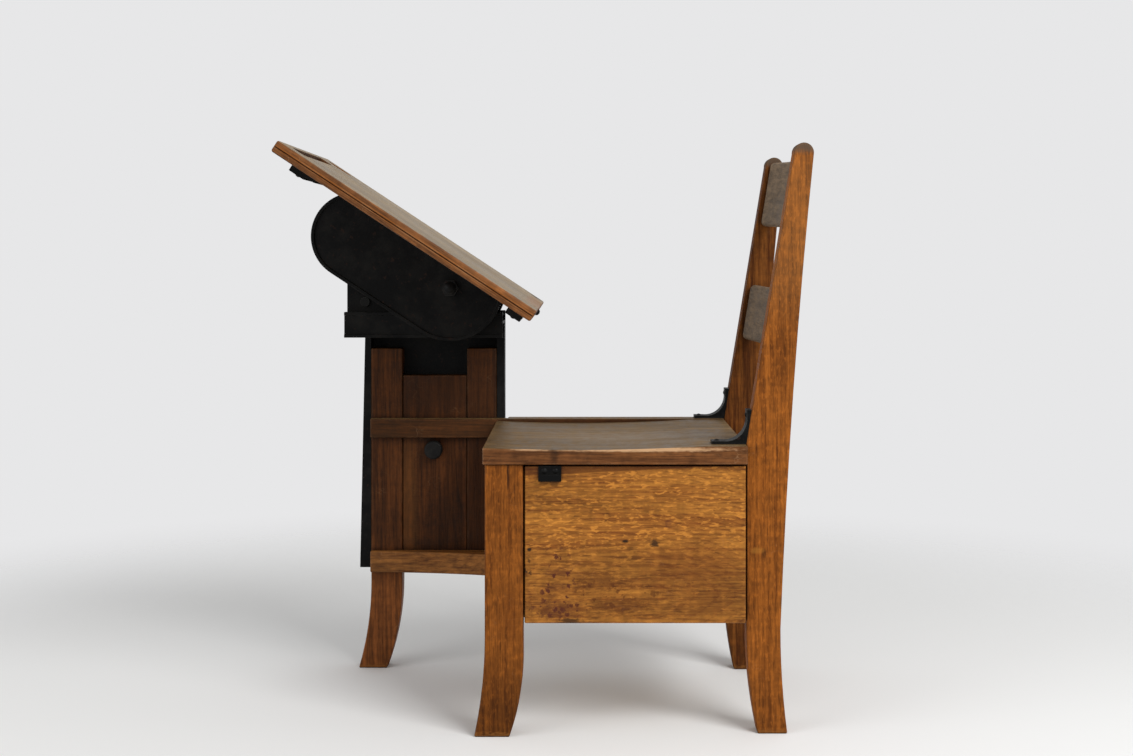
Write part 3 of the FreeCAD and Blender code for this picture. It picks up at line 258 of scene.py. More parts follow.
RING_WANDER = Field((2.4, 12, 12), 3)
STREAKS = Field((5, 150, 150), 4, 0.62)
FIBRES = Field((16, 620, 620), 3, 0.6)
DASHES = Field((30, 330, 330), 2, 0.6)
PORES = Field((70, 1300, 1300), 2, 0.6)
FLECKS = Field((100, 330, 330), 2, 0.55)
BROAD_TONE = Field((2.8, 18, 18), 3, 0.55)
# Bands across the grain of curly figure, lighter and darker: figure with its sheen painted into the tone.
CURL_AND_SHEEN = Field((75, 16, 16), 3, 0.6)
MOTTLE = Field((85, 170, 170))
WANDER_REACH = (0, 0.03, 0.03)
ACROSS_GRAIN = (0, 1, 1)
RING_SLANT = 0.03
EARLY_WOOD = (0.0, 0.35)
LATE_WOOD_POWER = 2.0
LATE_WOOD = 0.6
DASH_LEVELS = (0.55, 0.68)
PORE_LEVELS = (0.56, 0.68)
LATE_WOOD_PORES = 0.35
FLECK_LEVELS = (0.53, 0.64)
BROAD_SHARE = 0.42
CURL_AND_SHEEN_SHARE = 0.28
MOTTLE_SHARE = 0.3


def oak_figure(name):
    """Oak with its grain along X: growth rings round a pith line, fibre streaks, dark dashes of open pores,
    pale ray flecks, and changes of tone, among them bands across the grain of curly figure with its sheen
    painted in."""
    tree, source, result = new_group(
        name, {"Vector": VECTOR, "Pith": VECTOR, "Spacing": FLOAT, "Arch": FLOAT, "Seed": VECTOR},
        ("Rings", "Streaks", "Fibres", "Dashes", "Flecks", "Tone"))
    vector = source["Vector"]
    own = vector_calc(tree, "ADD", vector, source["Seed"])
    wander = vector_calc(tree, "MULTIPLY", vector_swing(tree, own, RING_WANDER), WANDER_REACH)
    moved = vector_calc(tree, "SUBTRACT", vector_calc(tree, "ADD", vector, wander), source["Pith"])
    from_pith = vector_calc(tree, "LENGTH", vector_calc(tree, "MULTIPLY", moved, ACROSS_GRAIN))
    along = coordinate(tree, vector, "X")
    bend = scaled(tree, calc(tree, "MULTIPLY", along, along), source["Arch"])
    reach = calc(tree, "ADD", from_pith, scaled(tree, along, RING_SLANT))
    ring = calc(tree, "FRACT", calc(tree, "DIVIDE", calc(tree, "ADD", reach, bend), source["Spacing"]))
    early = fall(tree, ring, *EARLY_WOOD)
    late = scaled(tree, calc(tree, "POWER", ring, LATE_WOOD_POWER), LATE_WOOD)
    feed(tree, result["Rings"], calc(tree, "MAXIMUM", early, late))
    feed(tree, result["Streaks"], noise(tree, own, STREAKS)["Fac"])
    feed(tree, result["Fibres"], noise(tree, own, FIBRES)["Fac"])
    dashes = ramp(tree, noise(tree, own, DASHES)["Fac"], *DASH_LEVELS)
    pores = ramp(tree, noise(tree, own, PORES)["Fac"], *PORE_LEVELS)
    open_pores = scaled(tree, pores, calc(tree, "ADD", LATE_WOOD_PORES, early))
    feed(tree, result["Dashes"], calc(tree, "MAXIMUM", dashes, open_pores))
    feed(tree, result["Flecks"], ramp(tree, noise(tree, own, FLECKS)["Fac"], *FLECK_LEVELS))
    # The tone takes in the curly bands, which paint the figure's sheen.
    tone = calc(tree, "ADD", scaled(tree, noise(tree, own, BROAD_TONE)["Fac"], BROAD_SHARE),
                scaled(tree, noise(tree, own, CURL_AND_SHEEN)["Fac"], CURL_AND_SHEEN_SHARE))
    mottle = scaled(tree, noise(tree, own, MOTTLE)["Fac"], MOTTLE_SHARE)
    feed(tree, result["Tone"], calc(tree, "ADD", tone, mottle))
    return tree


# Wear, and dirt with painted shade: noises that break them up, and the levels where each begins and ends

EDGE_SAMPLES = 6
EDGE_PATCHES = Field((38, 38, 38), 4, 0.65)
EDGE_TURN = (0.01, 0.16)
EDGE_LEVELS = (0.36, 0.62)
# Dirt and painted shade, found by ambient occlusion, gather in joints, corners and grooves.
SHADE_AND_DIRT_SAMPLES = 8
SHADE_AND_DIRT_PATCHES = Field((55, 55, 55), 4, 0.65)
SHADE_AND_DIRT_RAGGED = 0.5
SHADE_AND_DIRT_LEVELS = (0.18, 0.75)
CORNER_LEVELS = (0.05, 0.3)
FACE_PATCHES = Field((60, 60, 60), 4, 0.65)
FACE_RAGGED = 0.35
FACE_LEVELS = (0.66, 0.94)
SCRATCH_PATCHES = Field((21, 21, 21), 3)
SCRATCH_LEVELS = (0.5, 0.68)
SCRATCH_WIDTH = (0.0, 0.006)
SCRATCH_LINES = {
    # turn about Z: noise
    0.5: Field((7, 48, 48), 1, 0.4),
    -0.9: Field((9, 60, 60), 1, 0.4),
}


def worn_edges(name):
    """Mask of the rubbed edges of a piece, broken up along their length."""
    tree, source, result = new_group(name, {"Vector": VECTOR, "Width": FLOAT}, ("Edge",))
    rounded = add(tree, "ShaderNodeBevel", {"Radius": source["Width"]}, samples=EDGE_SAMPLES).outputs
    flat = add(tree, "ShaderNodeNewGeometry").outputs
    level = vector_calc(tree, "DOT_PRODUCT", rounded["Normal"], flat["Normal"])
    turn = calc(tree, "SUBTRACT", 1.0, level)
    patches = noise(tree, source["Vector"], EDGE_PATCHES)["Fac"]
    rub = scaled(tree, ramp(tree, turn, *EDGE_TURN), ramp(tree, patches, *EDGE_LEVELS))
    feed(tree, result["Edge"], rub)
    return tree


def dirt_and_painted_shade(name):
    """Mask of dirt and painted shade in joints, corners and grooves, from ambient occlusion."""
    tree, source, result = new_group(name, {"Vector": VECTOR, "Reach": FLOAT}, ("Dirt",))
    around = add(tree, "ShaderNodeAmbientOcclusion", {"Distance": source["Reach"]}, samples=SHADE_AND_DIRT_SAMPLES)
    hidden = calc(tree, "SUBTRACT", 1.0, around.outputs["AO"])
    ragged = scaled(tree, swing(tree, source["Vector"], SHADE_AND_DIRT_PATCHES), SHADE_AND_DIRT_RAGGED)
    loose = ramp(tree, calc(tree, "ADD", hidden, ragged), *SHADE_AND_DIRT_LEVELS)
    feed(tree, result["Dirt"], scaled(tree, loose, ramp(tree, hidden, *CORNER_LEVELS)))
    return tree


def facing(name):
    """Mask of the faces that look in a direction, ragged where they round off."""
    tree, source, result = new_group(
        name, {"Vector": VECTOR, "Normal": VECTOR, "Direction": VECTOR}, ("Mask",))
    turned = vector_calc(tree, "DOT_PRODUCT", source["Normal"], source["Direction"])
    ragged = scaled(tree, swing(tree, source["Vector"], FACE_PATCHES), FACE_RAGGED)
    feed(tree, result["Mask"], ramp(tree, calc(tree, "ADD", turned, ragged), *FACE_LEVELS))
    return tree


def scratches(name):
    """Mask of thin scratches across the grain."""
    tree, source, result = new_group(name, {"Vector": VECTOR}, ("Mask",))
    lines = 0.0
    for angle, field in SCRATCH_LINES.items():
        turned = add(tree, "ShaderNodeMapping", {"Vector": source["Vector"], "Rotation": (0, 0, angle)})
        off_line = calc(tree, "ABSOLUTE", swing(tree, turned.outputs["Vector"], field))
        lines = calc(tree, "MAXIMUM", lines, fall(tree, off_line, *SCRATCH_WIDTH))
    where = ramp(tree, noise(tree, source["Vector"], SCRATCH_PATCHES)["Fac"], *SCRATCH_LEVELS)
    feed(tree, result["Mask"], scaled(tree, lines, where))
    return tree


# Marks and drops: how their outlines break up, and where they fade, in shares of their half size

RAGGED_OUTLINE = Field((130, 420, 420), 4, 0.7)
SPOT_FADE = (0.35, 1.0)
TORN_DROPS = Field((300, 300, 300), 3)
DROP_SIZE = 0.5
DROP_RIM = (-0.12, 0.06)
DROPS_FADE = (0.5, 1.0)


def from_centre(tree, source):
    """Distance from the centre of an oval, in shares of its half sizes."""
    offset = vector_calc(tree, "SUBTRACT", source["Vector"], source["Centre"])
    return vector_calc(tree, "LENGTH", vector_calc(tree, "DIVIDE", offset, source["Size"]))


def spot(name):
    """Mask of a mark with a ragged outline, from its centre and its half sizes."""
    tree, source, result = new_group(
        name, {"Vector": VECTOR, "Centre": VECTOR, "Size": VECTOR, "Ragged": FLOAT}, ("Mask",))
    ragged = scaled(tree, swing(tree, source["Vector"], RAGGED_OUTLINE), source["Ragged"])
    feed(tree, result["Mask"], fall(tree, calc(tree, "ADD", from_centre(tree, source), ragged), *SPOT_FADE))
    return tree


def specks(name):
    """Mask of drops of uneven size scattered over an oval, from its centre, its half sizes and the drops'
    spacing."""
    tree, source, result = new_group(
        name, {"Vector": VECTOR, "Centre": VECTOR, "Size": VECTOR, "Spacing": FLOAT}, ("Mask",))
    place = vector_calc(tree, "DIVIDE", source["Vector"], source["Spacing"])
    place = vector_calc(tree, "ADD", place, vector_swing(tree, source["Vector"], TORN_DROPS))
    drops = add(tree, "ShaderNodeTexVoronoi", {"Vector": place, "Scale": 1.0}).outputs
    size = add(tree, "ShaderNodeSeparateColor", {"Color": drops["Color"]}).outputs["Red"]
    past_rim = calc(tree, "SUBTRACT", drops["Distance"], scaled(tree, size, DROP_SIZE))
    inside = fall(tree, from_centre(tree, source), *DROPS_FADE)
    feed(tree, result["Mask"], scaled(tree, fall(tree, past_rim, *DROP_RIM), inside))
    return tree


# Half width of the seam between two boards, in metres, where it begins to fade and where it ends
SEAM_WIDTH = (0.0002, 0.0009)


def glued_boards(name):
    """Numbers the boards that a panel is glued up from, and marks the seams between them."""
    tree, source, result = new_group(
        name, {"Across": FLOAT, "Start": FLOAT, "Width": FLOAT, "Count": FLOAT}, ("Number", "Seam"))
    place = calc(tree, "DIVIDE", calc(tree, "SUBTRACT", source["Across"], source["Start"]), source["Width"])
    last = calc(tree, "SUBTRACT", source["Count"], 1.0)
    number = calc(tree, "MINIMUM", calc(tree, "MAXIMUM", calc(tree, "FLOOR", place), 0.0), last)
    seam = calc(tree, "MINIMUM", calc(tree, "MAXIMUM", calc(tree, "ROUND", place), 1.0), last)
    away = scaled(tree, calc(tree, "ABSOLUTE", calc(tree, "SUBTRACT", place, seam)), source["Width"])
    feed(tree, result["Number"], number)
    feed(tree, result["Seam"], fall(tree, away, *SEAM_WIDTH))
    return tree


# Skin of a casting: its noises, and the levels where patches and chips begin and end
PITS = Field((420, 420, 420), 4, 0.6)
WAVES = Field((60, 60, 60))
DULL_PATCHES = Field((22, 22, 22), 5, 0.65)
PATCH_LEVELS = (0.42, 0.68)
CHIPS = Field((120, 120, 120), 5, 0.7)
CHIP_LEVELS = (0.60, 0.66)


def cast_skin(name):
    """Pitted skin of a casting: its relief, dull patches, and chips down to the metal."""
    tree, source, result = new_group(name, {"Vector": VECTOR}, ("Relief", "Patches", "Chips"))
    vector = source["Vector"]
    feed(tree, result["Relief"],
         calc(tree, "ADD", noise(tree, vector, PITS)["Fac"], noise(tree, vector, WAVES)["Fac"]))
    feed(tree, result["Patches"], ramp(tree, noise(tree, vector, DULL_PATCHES)["Fac"], *PATCH_LEVELS))
    feed(tree, result["Chips"], ramp(tree, noise(tree, vector, CHIPS)["Fac"], *CHIP_LEVELS))
    return tree


GROUPS = {
    "Oak figure": oak_figure,
    "Worn edges": worn_edges,
    "Gathered dirt": dirt_and_painted_shade,
    "Facing": facing,
    "Scratches": scratches,
    "Spot": spot,
    "Specks": specks,
    "Glued boards": glued_boards,
    "Cast skin": cast_skin,
}


# Finishes

# An oak finish: colours by their property, strengths of the rings, streaks, dashes, flecks, worn edges, dirt
# with painted shade, and scratches, then roughness and gloss
Oak = namedtuple("Oak", "light dark rings streaks dashes flecks wear dirt scratched roughness gloss")
OAKS = {
    "frame": Oak("frame_light", "frame_dark", 0.22, 0.55, 0.45, 0.35, 0.30, 0.75, 0.08, 0.64, 0.08),
    "drawer": Oak("drawer_light", "drawer_dark", 0.28, 0.65, 0.55, 0.66, 0.20, 0.75, 0.08, 0.42, 0.15),
    # The pedestal's colours are darkened partly as painted shade under the desk and seat.
    "pedestal": Oak("pedestal_light", "pedestal_dark", 0.30, 0.75, 0.40, 0.05, 0.25, 0.75, 0.06, 0.46,
                    0.10),
    # The far post's finish is darkened as painted shade.
    "far": Oak("far_light", "far_dark", 0.30, 0.75, 0.40, 0.05, 0.25, 0.75, 0.06, 0.64, 0.07),
    "shelf": Oak("shelf_light", "shelf_dark", 0.30, 0.70, 0.40, 0.05, 0.35, 0.75, 0.10, 0.46, 0.14),
    "seat": Oak("seat_light", "seat_dark", 0.30, 0.70, 0.45, 0.05, 0.60, 0.70, 0.20, 0.50, 0.10),
    # The seat rail takes the pedestal's colours, darkened partly as painted shade under the seat.
    "seat_rail": Oak("pedestal_light", "pedestal_dark", 0.30, 0.60, 0.40, 0.05, 0.30, 0.70, 0.12, 0.50,
                     0.10),
    "slat": Oak("slat_light", "slat_dark", 0.25, 0.60, 0.25, 0.05, 0.20, 0.70, 0.15, 0.60, 0.12),
    "desk": Oak("rim_light", "rim_dark", 0.30, 0.65, 0.40, 0.05, 0.30, 0.70, 0.25, 0.52, 0.14),
    "inner": Oak("inner_light", "inner_dark", 0.45, 0.50, 0.35, 0.05, 0.15, 0.60, 0.15, 0.68, 0.12),
}

# How the oak's figure colours it: levels of the lines, brightness of what is darker or lighter than the wood
STREAK_LEVELS = (0.34, 0.68)
FIBRE_LEVELS = (0.35, 0.7, -0.12, 0.2)
DASH_SHADE = 0.55
FLECK_SHINE = 1.45
FLECKS_OUTSIDE_ZONE = 0.45
FADED_DASHES = 0.4
FADED_DASH_SHADE = 0.6
TONE_LEVELS = (0.39, 0.61)
TONE_SHADES = (0.74, 1.24)
END_GRAIN = (0.72, 0.95, 0.0, 0.7)
END_GRAIN_SHADE = 0.5
SEAM_STRENGTH = 0.7

# How the oak's figure changes its gloss and its surface, with the depth of the grain in metres
SMOOTHER = 0.08
ROUGHER = 0.12
DULLED = 0.2
RING_HOLLOW = 0.3
FIBRE_RISE = 0.4
GRAIN_DEPTH = 0.0006

# An iron finish: its colour by its property, strength of the rubbed edges, roughness and gloss
Iron = namedtuple("Iron", "skin rubbed roughness gloss")
CAST_IRON = Iron("iron_skin", 0.7, 0.50, 0.08)
DARK_STEEL = Iron("steel", 0.5, 0.42, 0.10)
PATCH_DUST = 0.5
CORNER_DUST = 0.6
CHIP_RUST = 0.6
PATCH_ROUGHER = 0.18
CAST_RELIEF = 0.35
CAST_DEPTH = 0.0005

# A face that has faded to another colour: the direction it looks in, and its colours by their property
Faded = namedtuple("Faded", "direction light dark")
UP = Vector((0, 0, 1))
DESK_UP = Vector((math.sin(TILT), 0, math.cos(TILT)))
WORN_TOP = Faded(UP, "worn_light", "worn_dark")
DESK_TOP = Faded(DESK_UP, "desk_light", "desk_dark")

# Direction of the grain, and the turn that brings it to the X axis of the figure
Grain = namedtuple("Grain", "direction turn")
GRAIN = {
    "x": Grain((1, 0, 0), Euler((0, 0, 0))),
    "y": Grain((0, 1, 0), Euler((0, 0, -math.pi / 2))),
    "z": Grain((0, 0, 1), Euler((0, math.pi / 2, 0))),
    "slope": Grain((math.cos(TILT), 0, -math.sin(TILT)), Euler((0, -TILT, 0))),
}
SEED_STEP = Vector((0.61, 0.37, 0.23))

# Boards that a panel is glued up from, side by side along an axis, and how the figure and the tone change
# between them
Boards = namedtuple("Boards", "axis count")
BOARD_STEP = Vector((1.7, 2.3, 3.1))
PITH_STEP = Vector((0, 0.024, -0.017))
BOARD_CHANGE = 0.62
BOARD_SHADES = (0.88, 1.1)

# Pieces whose colour is darker or lighter at one end: the heights between which it changes, in metres, and
# its brightness below and above
EndTone = namedtuple("EndTone", "low high below above")
END_TONES = {
    "front_leg": EndTone(0.03, 0.13, 0.57, 1.0),
    # The pedestal's foot is painted lighter than the stile above it, which stands in the shade under the
    # desk and seat: painted light.
    "pedestal_front_stile": EndTone(0.08, 0.22, 3.00, 1.0),
    "left_rear_post": EndTone(0.50, 0.70, 1.0, 1.20),
}


# Marks, each with its colour by its property and its strength

WEDGE_EDGE = 0.0012
BAND_FADE = (0.6, 1.4)


def near_face(node, across, up):
    """Place on the near face of a piece, in shares of its box."""
    low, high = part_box(node)
    return low.x + across * (high.x - low.x), low.y, low.z + up * (high.z - low.z)


def reach(node, direction):
    """Lowest and highest level of a piece in a direction."""
    levels = [corner.co.dot(direction) for corner in frame["nodes"][node].data.vertices]
    return min(levels), max(levels)


class Mark(namedtuple("Mark", "across up size colour strength ragged")):
    """Mark on the near face of a piece. Its centre is given in shares of the piece's box and its half size
    in metres."""

    def mask(self, tree, place, node):
        centre = near_face(node, self.across, self.up)
        inputs = {"Vector": place, "Centre": centre, "Size": self.size, "Ragged": self.ragged}
        return use_group(tree, "Spot", inputs)["Mask"]


class Drops(namedtuple("Drops", "across up size spacing colour strength")):
    """Scattered drops on the near face of a piece. Their oval is given as a mark's is, and their spacing in
    metres."""

    def mask(self, tree, place, node):
        centre = near_face(node, self.across, self.up)
        inputs = {"Vector": place, "Centre": centre, "Size": self.size, "Spacing": self.spacing}
        return use_group(tree, "Specks", inputs)["Mask"]


class Blot(namedtuple("Blot", "direction along across size colour strength ragged")):
    """Mark on the outermost face that looks in a direction, at shares of the piece's box in X and Y."""

    def mask(self, tree, place, node):
        low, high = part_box(node)
        level = reach(node, self.direction)[1]
        centre = Vector((low.x + self.along * (high.x - low.x), low.y + self.across * (high.y - low.y), 0))
        centre.z = (level - centre.dot(self.direction)) / self.direction.z
        inputs = {"Vector": place, "Centre": centre, "Size": self.size, "Ragged": self.ragged}
        return use_group(tree, "Spot", inputs)["Mask"]


class Wedge(namedtuple("Wedge", "start end depth colour strength")):
    """Strip under the top edge of a piece that narrows along X, between two shares of the piece's box."""

    def mask(self, tree, place, node):
        low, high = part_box(node)
        wide = high.x - low.x
        depth = add(tree, "ShaderNodeMapRange", {
            "Value": coordinate(tree, place, "X"), "From Min": low.x + self.start * wide,
            "From Max": low.x + self.end * wide, "To Min": self.depth, "To Max": 0.0}).outputs["Result"]
        below = calc(tree, "SUBTRACT", high.z, coordinate(tree, place, "Z"))
        return fall(tree, calc(tree, "SUBTRACT", below, depth), -WEDGE_EDGE, WEDGE_EDGE)


class Band(namedtuple("Band", "direction middle half colour strength")):
    """Band round a piece, across a direction. Its middle is a share of the piece's reach in that direction,
    and its half width is in metres."""

    def mask(self, tree, place, node):
        lowest, highest = reach(node, self.direction)
        level = lowest + self.middle * (highest - lowest)
        height = vector_calc(tree, "DOT_PRODUCT", place, self.direction)
        away = calc(tree, "ABSOLUTE", calc(tree, "SUBTRACT", height, level))
        return fall(tree, away, *(self.half * part for part in BAND_FADE))


# Materials

def new_material(name):
    """Empty material with its shader's inputs and the piece's coordinates."""
    material = bpy.data.materials.new(name)
    material.use_nodes = True
    tree = material.node_tree
    tree.nodes.clear()
    shader = add(tree, "ShaderNodeBsdfPrincipled")
    add(tree, "ShaderNodeOutputMaterial", {"Surface": shader.outputs["BSDF"]})
    return material, tree, shader.inputs, add(tree, "ShaderNodeTexCoord").outputs


def dress(node, material):
    """Gives a CAD node its material."""
    piece = frame["nodes"][node]
    piece.data.materials.clear()
    piece.data.materials.append(material)


def shaded(tone, part):
    """A colour at a share of its brightness."""
    return [entry * part for entry in tone]


def emboss(tree, shader, height, strength, depth):
    """Gives a shader its relief."""
    bump = add(tree, "ShaderNodeBump", {"Height": height, "Strength": strength, "Distance": depth})
    feed(tree, shader["Normal"], bump.outputs["Normal"])


def wear_of(tree, place, edge_width):
    """Masks of the rubbed edges and of the dirt with painted shade of a piece."""
    dirt_and_shade_reach = bpy.context.scene.chair_desk_looks.dirt_and_shade_reach
    edge = use_group(tree, "Worn edges", {"Vector": place, "Width": edge_width})["Edge"]
    dirt = use_group(tree, "Gathered dirt", {"Vector": place, "Reach": dirt_and_shade_reach})["Dirt"]
    return edge, dirt


# An oak piece: its node, finish, direction of the grain, the pith's place across the grain from its middle,
# its marks and faded face, how far the rings arch along the grain, the heights between which its flecks come
# in, and the boards that it is glued up from
OakPiece = namedtuple("OakPiece", "node finish grain pith marks faded arch fleck_zone boards",
                      defaults=((), None, 0.0, None, None))


def board_numbers(tree, place, piece):
    """Number of the board at a place on a glued-up piece, and the mask of its seams."""
    low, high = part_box(piece.node)
    axis, count = piece.boards
    side = "XYZ".index(axis)
    return use_group(tree, "Glued boards", {
        "Across": coordinate(tree, place, axis), "Start": low[side], "Count": count,
        "Width": (high[side] - low[side]) / count})


def figure_of(tree, place, piece, glued):
    """Oak figure of one piece, centred on it and different from the others and from board to board."""
    looks = bpy.context.scene.chair_desk_looks
    low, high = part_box(piece.node)
    turn = GRAIN[piece.grain].turn
    shift = -(turn.to_matrix() @ ((low + high) / 2))
    centred = add(tree, "ShaderNodeMapping", {"Vector": place, "Location": shift, "Rotation": turn})
    seed = SEED_STEP * len(bpy.data.materials)
    pith = piece.pith
    if glued:
        number = glued["Number"]
        seed = vector_calc(tree, "ADD", vector_calc(tree, "MULTIPLY", number, BOARD_STEP), seed)
        pith = vector_calc(tree, "ADD", vector_calc(tree, "MULTIPLY", number, PITH_STEP), pith)
    return use_group(tree, "Oak figure", {
        "Vector": centred.outputs["Vector"], "Pith": pith, "Spacing": looks.ring_spacing,
        "Arch": piece.arch, "Seed": seed})


def grained(tree, coordinates, piece, figure):
    """Colour of a piece's oak with its grain, flecks and faded face."""
    looks = bpy.context.scene.chair_desk_looks
    kind = OAKS[piece.finish]
    place = coordinates["Object"]
    light = getattr(looks, kind.light)
    dark = getattr(looks, kind.dark)
    lines = calc(tree, "ADD", scaled(tree, figure["Rings"], kind.rings),
                 ramp(tree, figure["Streaks"], *STREAK_LEVELS, 0.0, kind.streaks))
    lines = calc(tree, "ADD", lines, ramp(tree, figure["Fibres"], *FIBRE_LEVELS))
    tint = mixed(tree, lines, light, dark)
    tint = mixed(tree, scaled(tree, figure["Dashes"], kind.dashes), tint, shaded(dark, DASH_SHADE))
    flecks = scaled(tree, figure["Flecks"], kind.flecks)
    if piece.fleck_zone:
        zone = ramp(tree, coordinate(tree, place, "Z"), *piece.fleck_zone, FLECKS_OUTSIDE_ZONE, 1.0)
        flecks = scaled(tree, flecks, zone)
    tint = mixed(tree, flecks, tint, shaded(light, FLECK_SHINE))
    if not piece.faded:
        return tint
    pale = getattr(looks, piece.faded.light)
    pale_dark = getattr(looks, piece.faded.dark)
    washed = mixed(tree, lines, pale, pale_dark)
    dashes = scaled(tree, figure["Dashes"], FADED_DASHES)
    washed = mixed(tree, dashes, washed, shaded(pale_dark, FADED_DASH_SHADE))
    face = use_group(tree, "Facing", {
        "Vector": place, "Normal": coordinates["Normal"], "Direction": piece.faded.direction})["Mask"]
    return mixed(tree, face, tint, washed)


def shade_of(tree, place, piece, figure, glued):
    """Brightness of a piece's oak, which changes with its figure, from board to board and towards one
    end."""
    shade = ramp(tree, figure["Tone"], *TONE_LEVELS, *TONE_SHADES)
    if glued:
        turn = calc(tree, "FRACT", scaled(tree, glued["Number"], BOARD_CHANGE))
        shade = scaled(tree, shade, ramp(tree, turn, 0.0, 1.0, *BOARD_SHADES))
    if piece.node in END_TONES:
        shade = scaled(tree, shade, ramp(tree, coordinate(tree, place, "Z"), *END_TONES[piece.node]))
    grey = {"Red": shade, "Green": shade, "Blue": shade}
    return add(tree, "ShaderNodeCombineColor", grey).outputs["Color"]


def oak(piece):
    """Finishes one piece in oak, with its own figure, end grain, seams, marks, scratches, rubbed edges, and
    dirt with painted shade in joints and corners."""
    looks = bpy.context.scene.chair_desk_looks
    kind = OAKS[piece.finish]
    material, tree, shader, coordinates = new_material(f"{piece.node}_{piece.finish}_oak")
    place = coordinates["Object"]
    glued = board_numbers(tree, place, piece) if piece.boards else None
    figure = figure_of(tree, place, piece, glued)

    tint = grained(tree, coordinates, piece, figure)
    tint = mixed(tree, 1.0, tint, shade_of(tree, place, piece, figure, glued), "MULTIPLY")
    along = vector_calc(tree, "DOT_PRODUCT", coordinates["Normal"], GRAIN[piece.grain].direction)
    end = ramp(tree, calc(tree, "ABSOLUTE", along), *END_GRAIN)
    tint = mixed(tree, end, tint, shaded(getattr(looks, kind.dark), END_GRAIN_SHADE))
    if glued:
        tint = mixed(tree, scaled(tree, glued["Seam"], SEAM_STRENGTH), tint, looks.soil)
    for mark in piece.marks:
        mask = mark.mask(tree, place, piece.node)
        tint = mixed(tree, scaled(tree, mask, mark.strength), tint, getattr(looks, mark.colour))
    scratched = use_group(tree, "Scratches", {"Vector": place})["Mask"]
    tint = mixed(tree, scaled(tree, scratched, kind.scratched), tint, looks.bare)
    edge, dirt = wear_of(tree, place, looks.edge_width)
    tint = mixed(tree, scaled(tree, edge, kind.wear), tint, looks.bare)
    # Dirt and painted shade darken joints, corners and grooves.
    tint = mixed(tree, scaled(tree, dirt, kind.dirt), tint, looks.soil)
    feed(tree, shader["Base Color"], tint)

    rough = ramp(tree, figure["Tone"], *TONE_LEVELS, kind.roughness - SMOOTHER, kind.roughness + ROUGHER)
    rough = calc(tree, "ADD", rough, scaled(tree, calc(tree, "MAXIMUM", edge, dirt), DULLED))
    feed(tree, shader["Roughness"], rough)
    feed(tree, shader["Specular IOR Level"], kind.gloss)
    hollow = calc(tree, "MAXIMUM", figure["Dashes"], scaled(tree, figure["Rings"], RING_HOLLOW))
    hollow = calc(tree, "MAXIMUM", hollow, scratched)
    relief = calc(tree, "SUBTRACT", scaled(tree, figure["Fibres"], FIBRE_RISE), hollow)
    emboss(tree, shader, relief, looks.grain_relief, GRAIN_DEPTH)
    dress(piece.node, material)


def iron(node, kind):
    """Finishes one piece in black iron or steel, with dust, chips and rubbed edges."""
    looks = bpy.context.scene.chair_desk_looks
    material, tree, shader, coordinates = new_material(f"{node}_{kind.skin}")
    place = coordinates["Object"]
    cast = use_group(tree, "Cast skin", {"Vector": place})
    edge, dirt = wear_of(tree, place, looks.edge_width / 2)
    dust = calc(tree, "MAXIMUM", scaled(tree, cast["Patches"], PATCH_DUST), scaled(tree, dirt, CORNER_DUST))
    tint = mixed(tree, dust, getattr(looks, kind.skin), looks.iron_dust)
    tint = mixed(tree, scaled(tree, cast["Chips"], CHIP_RUST), tint, looks.rust)
    tint = mixed(tree, scaled(tree, edge, kind.rubbed), tint, looks.iron_rub)
    feed(tree, shader["Base Color"], tint)
    rough = ramp(tree, cast["Patches"], 0.0, 1.0, kind.roughness, kind.roughness + PATCH_ROUGHER)
    feed(tree, shader["Roughness"], rough)
    feed(tree, shader["Specular IOR Level"], kind.gloss)
    emboss(tree, shader, cast["Relief"], CAST_RELIEF, CAST_DEPTH)
    dress(node, material)


# Pieces and their marks

# Half size of a mark that runs right across its piece
ALL_OVER = 1.0

FOOT_RIM = Mark(0.5, 0.0, (ALL_OVER, ALL_OVER, 0.007), "shelf_light", 0.5, 3.0)
POST_TOP = Mark(0.5, 1.0, (ALL_OVER, ALL_OVER, 0.018), "slat_dark", 0.85, 0.5)
LEG_MARKS = (
    FOOT_RIM,
    Mark(0.69, 0.96, (0.0014, ALL_OVER, 0.030), "soil", 0.85, 0.2),
    Mark(0.75, 0.45, (0.012, ALL_OVER, 0.05), "frame_dark", 0.4, 0.8),
)
POST_MARKS = (
    FOOT_RIM,
    Mark(0.9, 0.86, (ALL_OVER, ALL_OVER, 0.16), "worn_light", 0.16, 0.6),
    POST_TOP,
    Mark(0.26, 0.305, (0.004, ALL_OVER, 0.009), "soil", 0.55, 0.6),
    Mark(0.16, 0.31, (0.012, ALL_OVER, 0.006), "drawer_light", 0.6, 0.7),
)
CHAIR_OAK = (
    OakPiece("front_leg", "frame", "z", (0, 0.05, 0.10), LEG_MARKS),
    OakPiece("left_rear_post", "frame", "z", (0, 0.04, 0.16), POST_MARKS),
    OakPiece("box_front_panel", "frame", "y", (0, 0.03, 0.14), boards=Boards("Z", 2)),
    OakPiece("box_rear_panel", "frame", "y", (0, -0.05, 0.12), boards=Boards("Z", 2)),
    OakPiece("box_back_panel", "frame", "x", (0, 0.06, 0.10), boards=Boards("Z", 2)),
)

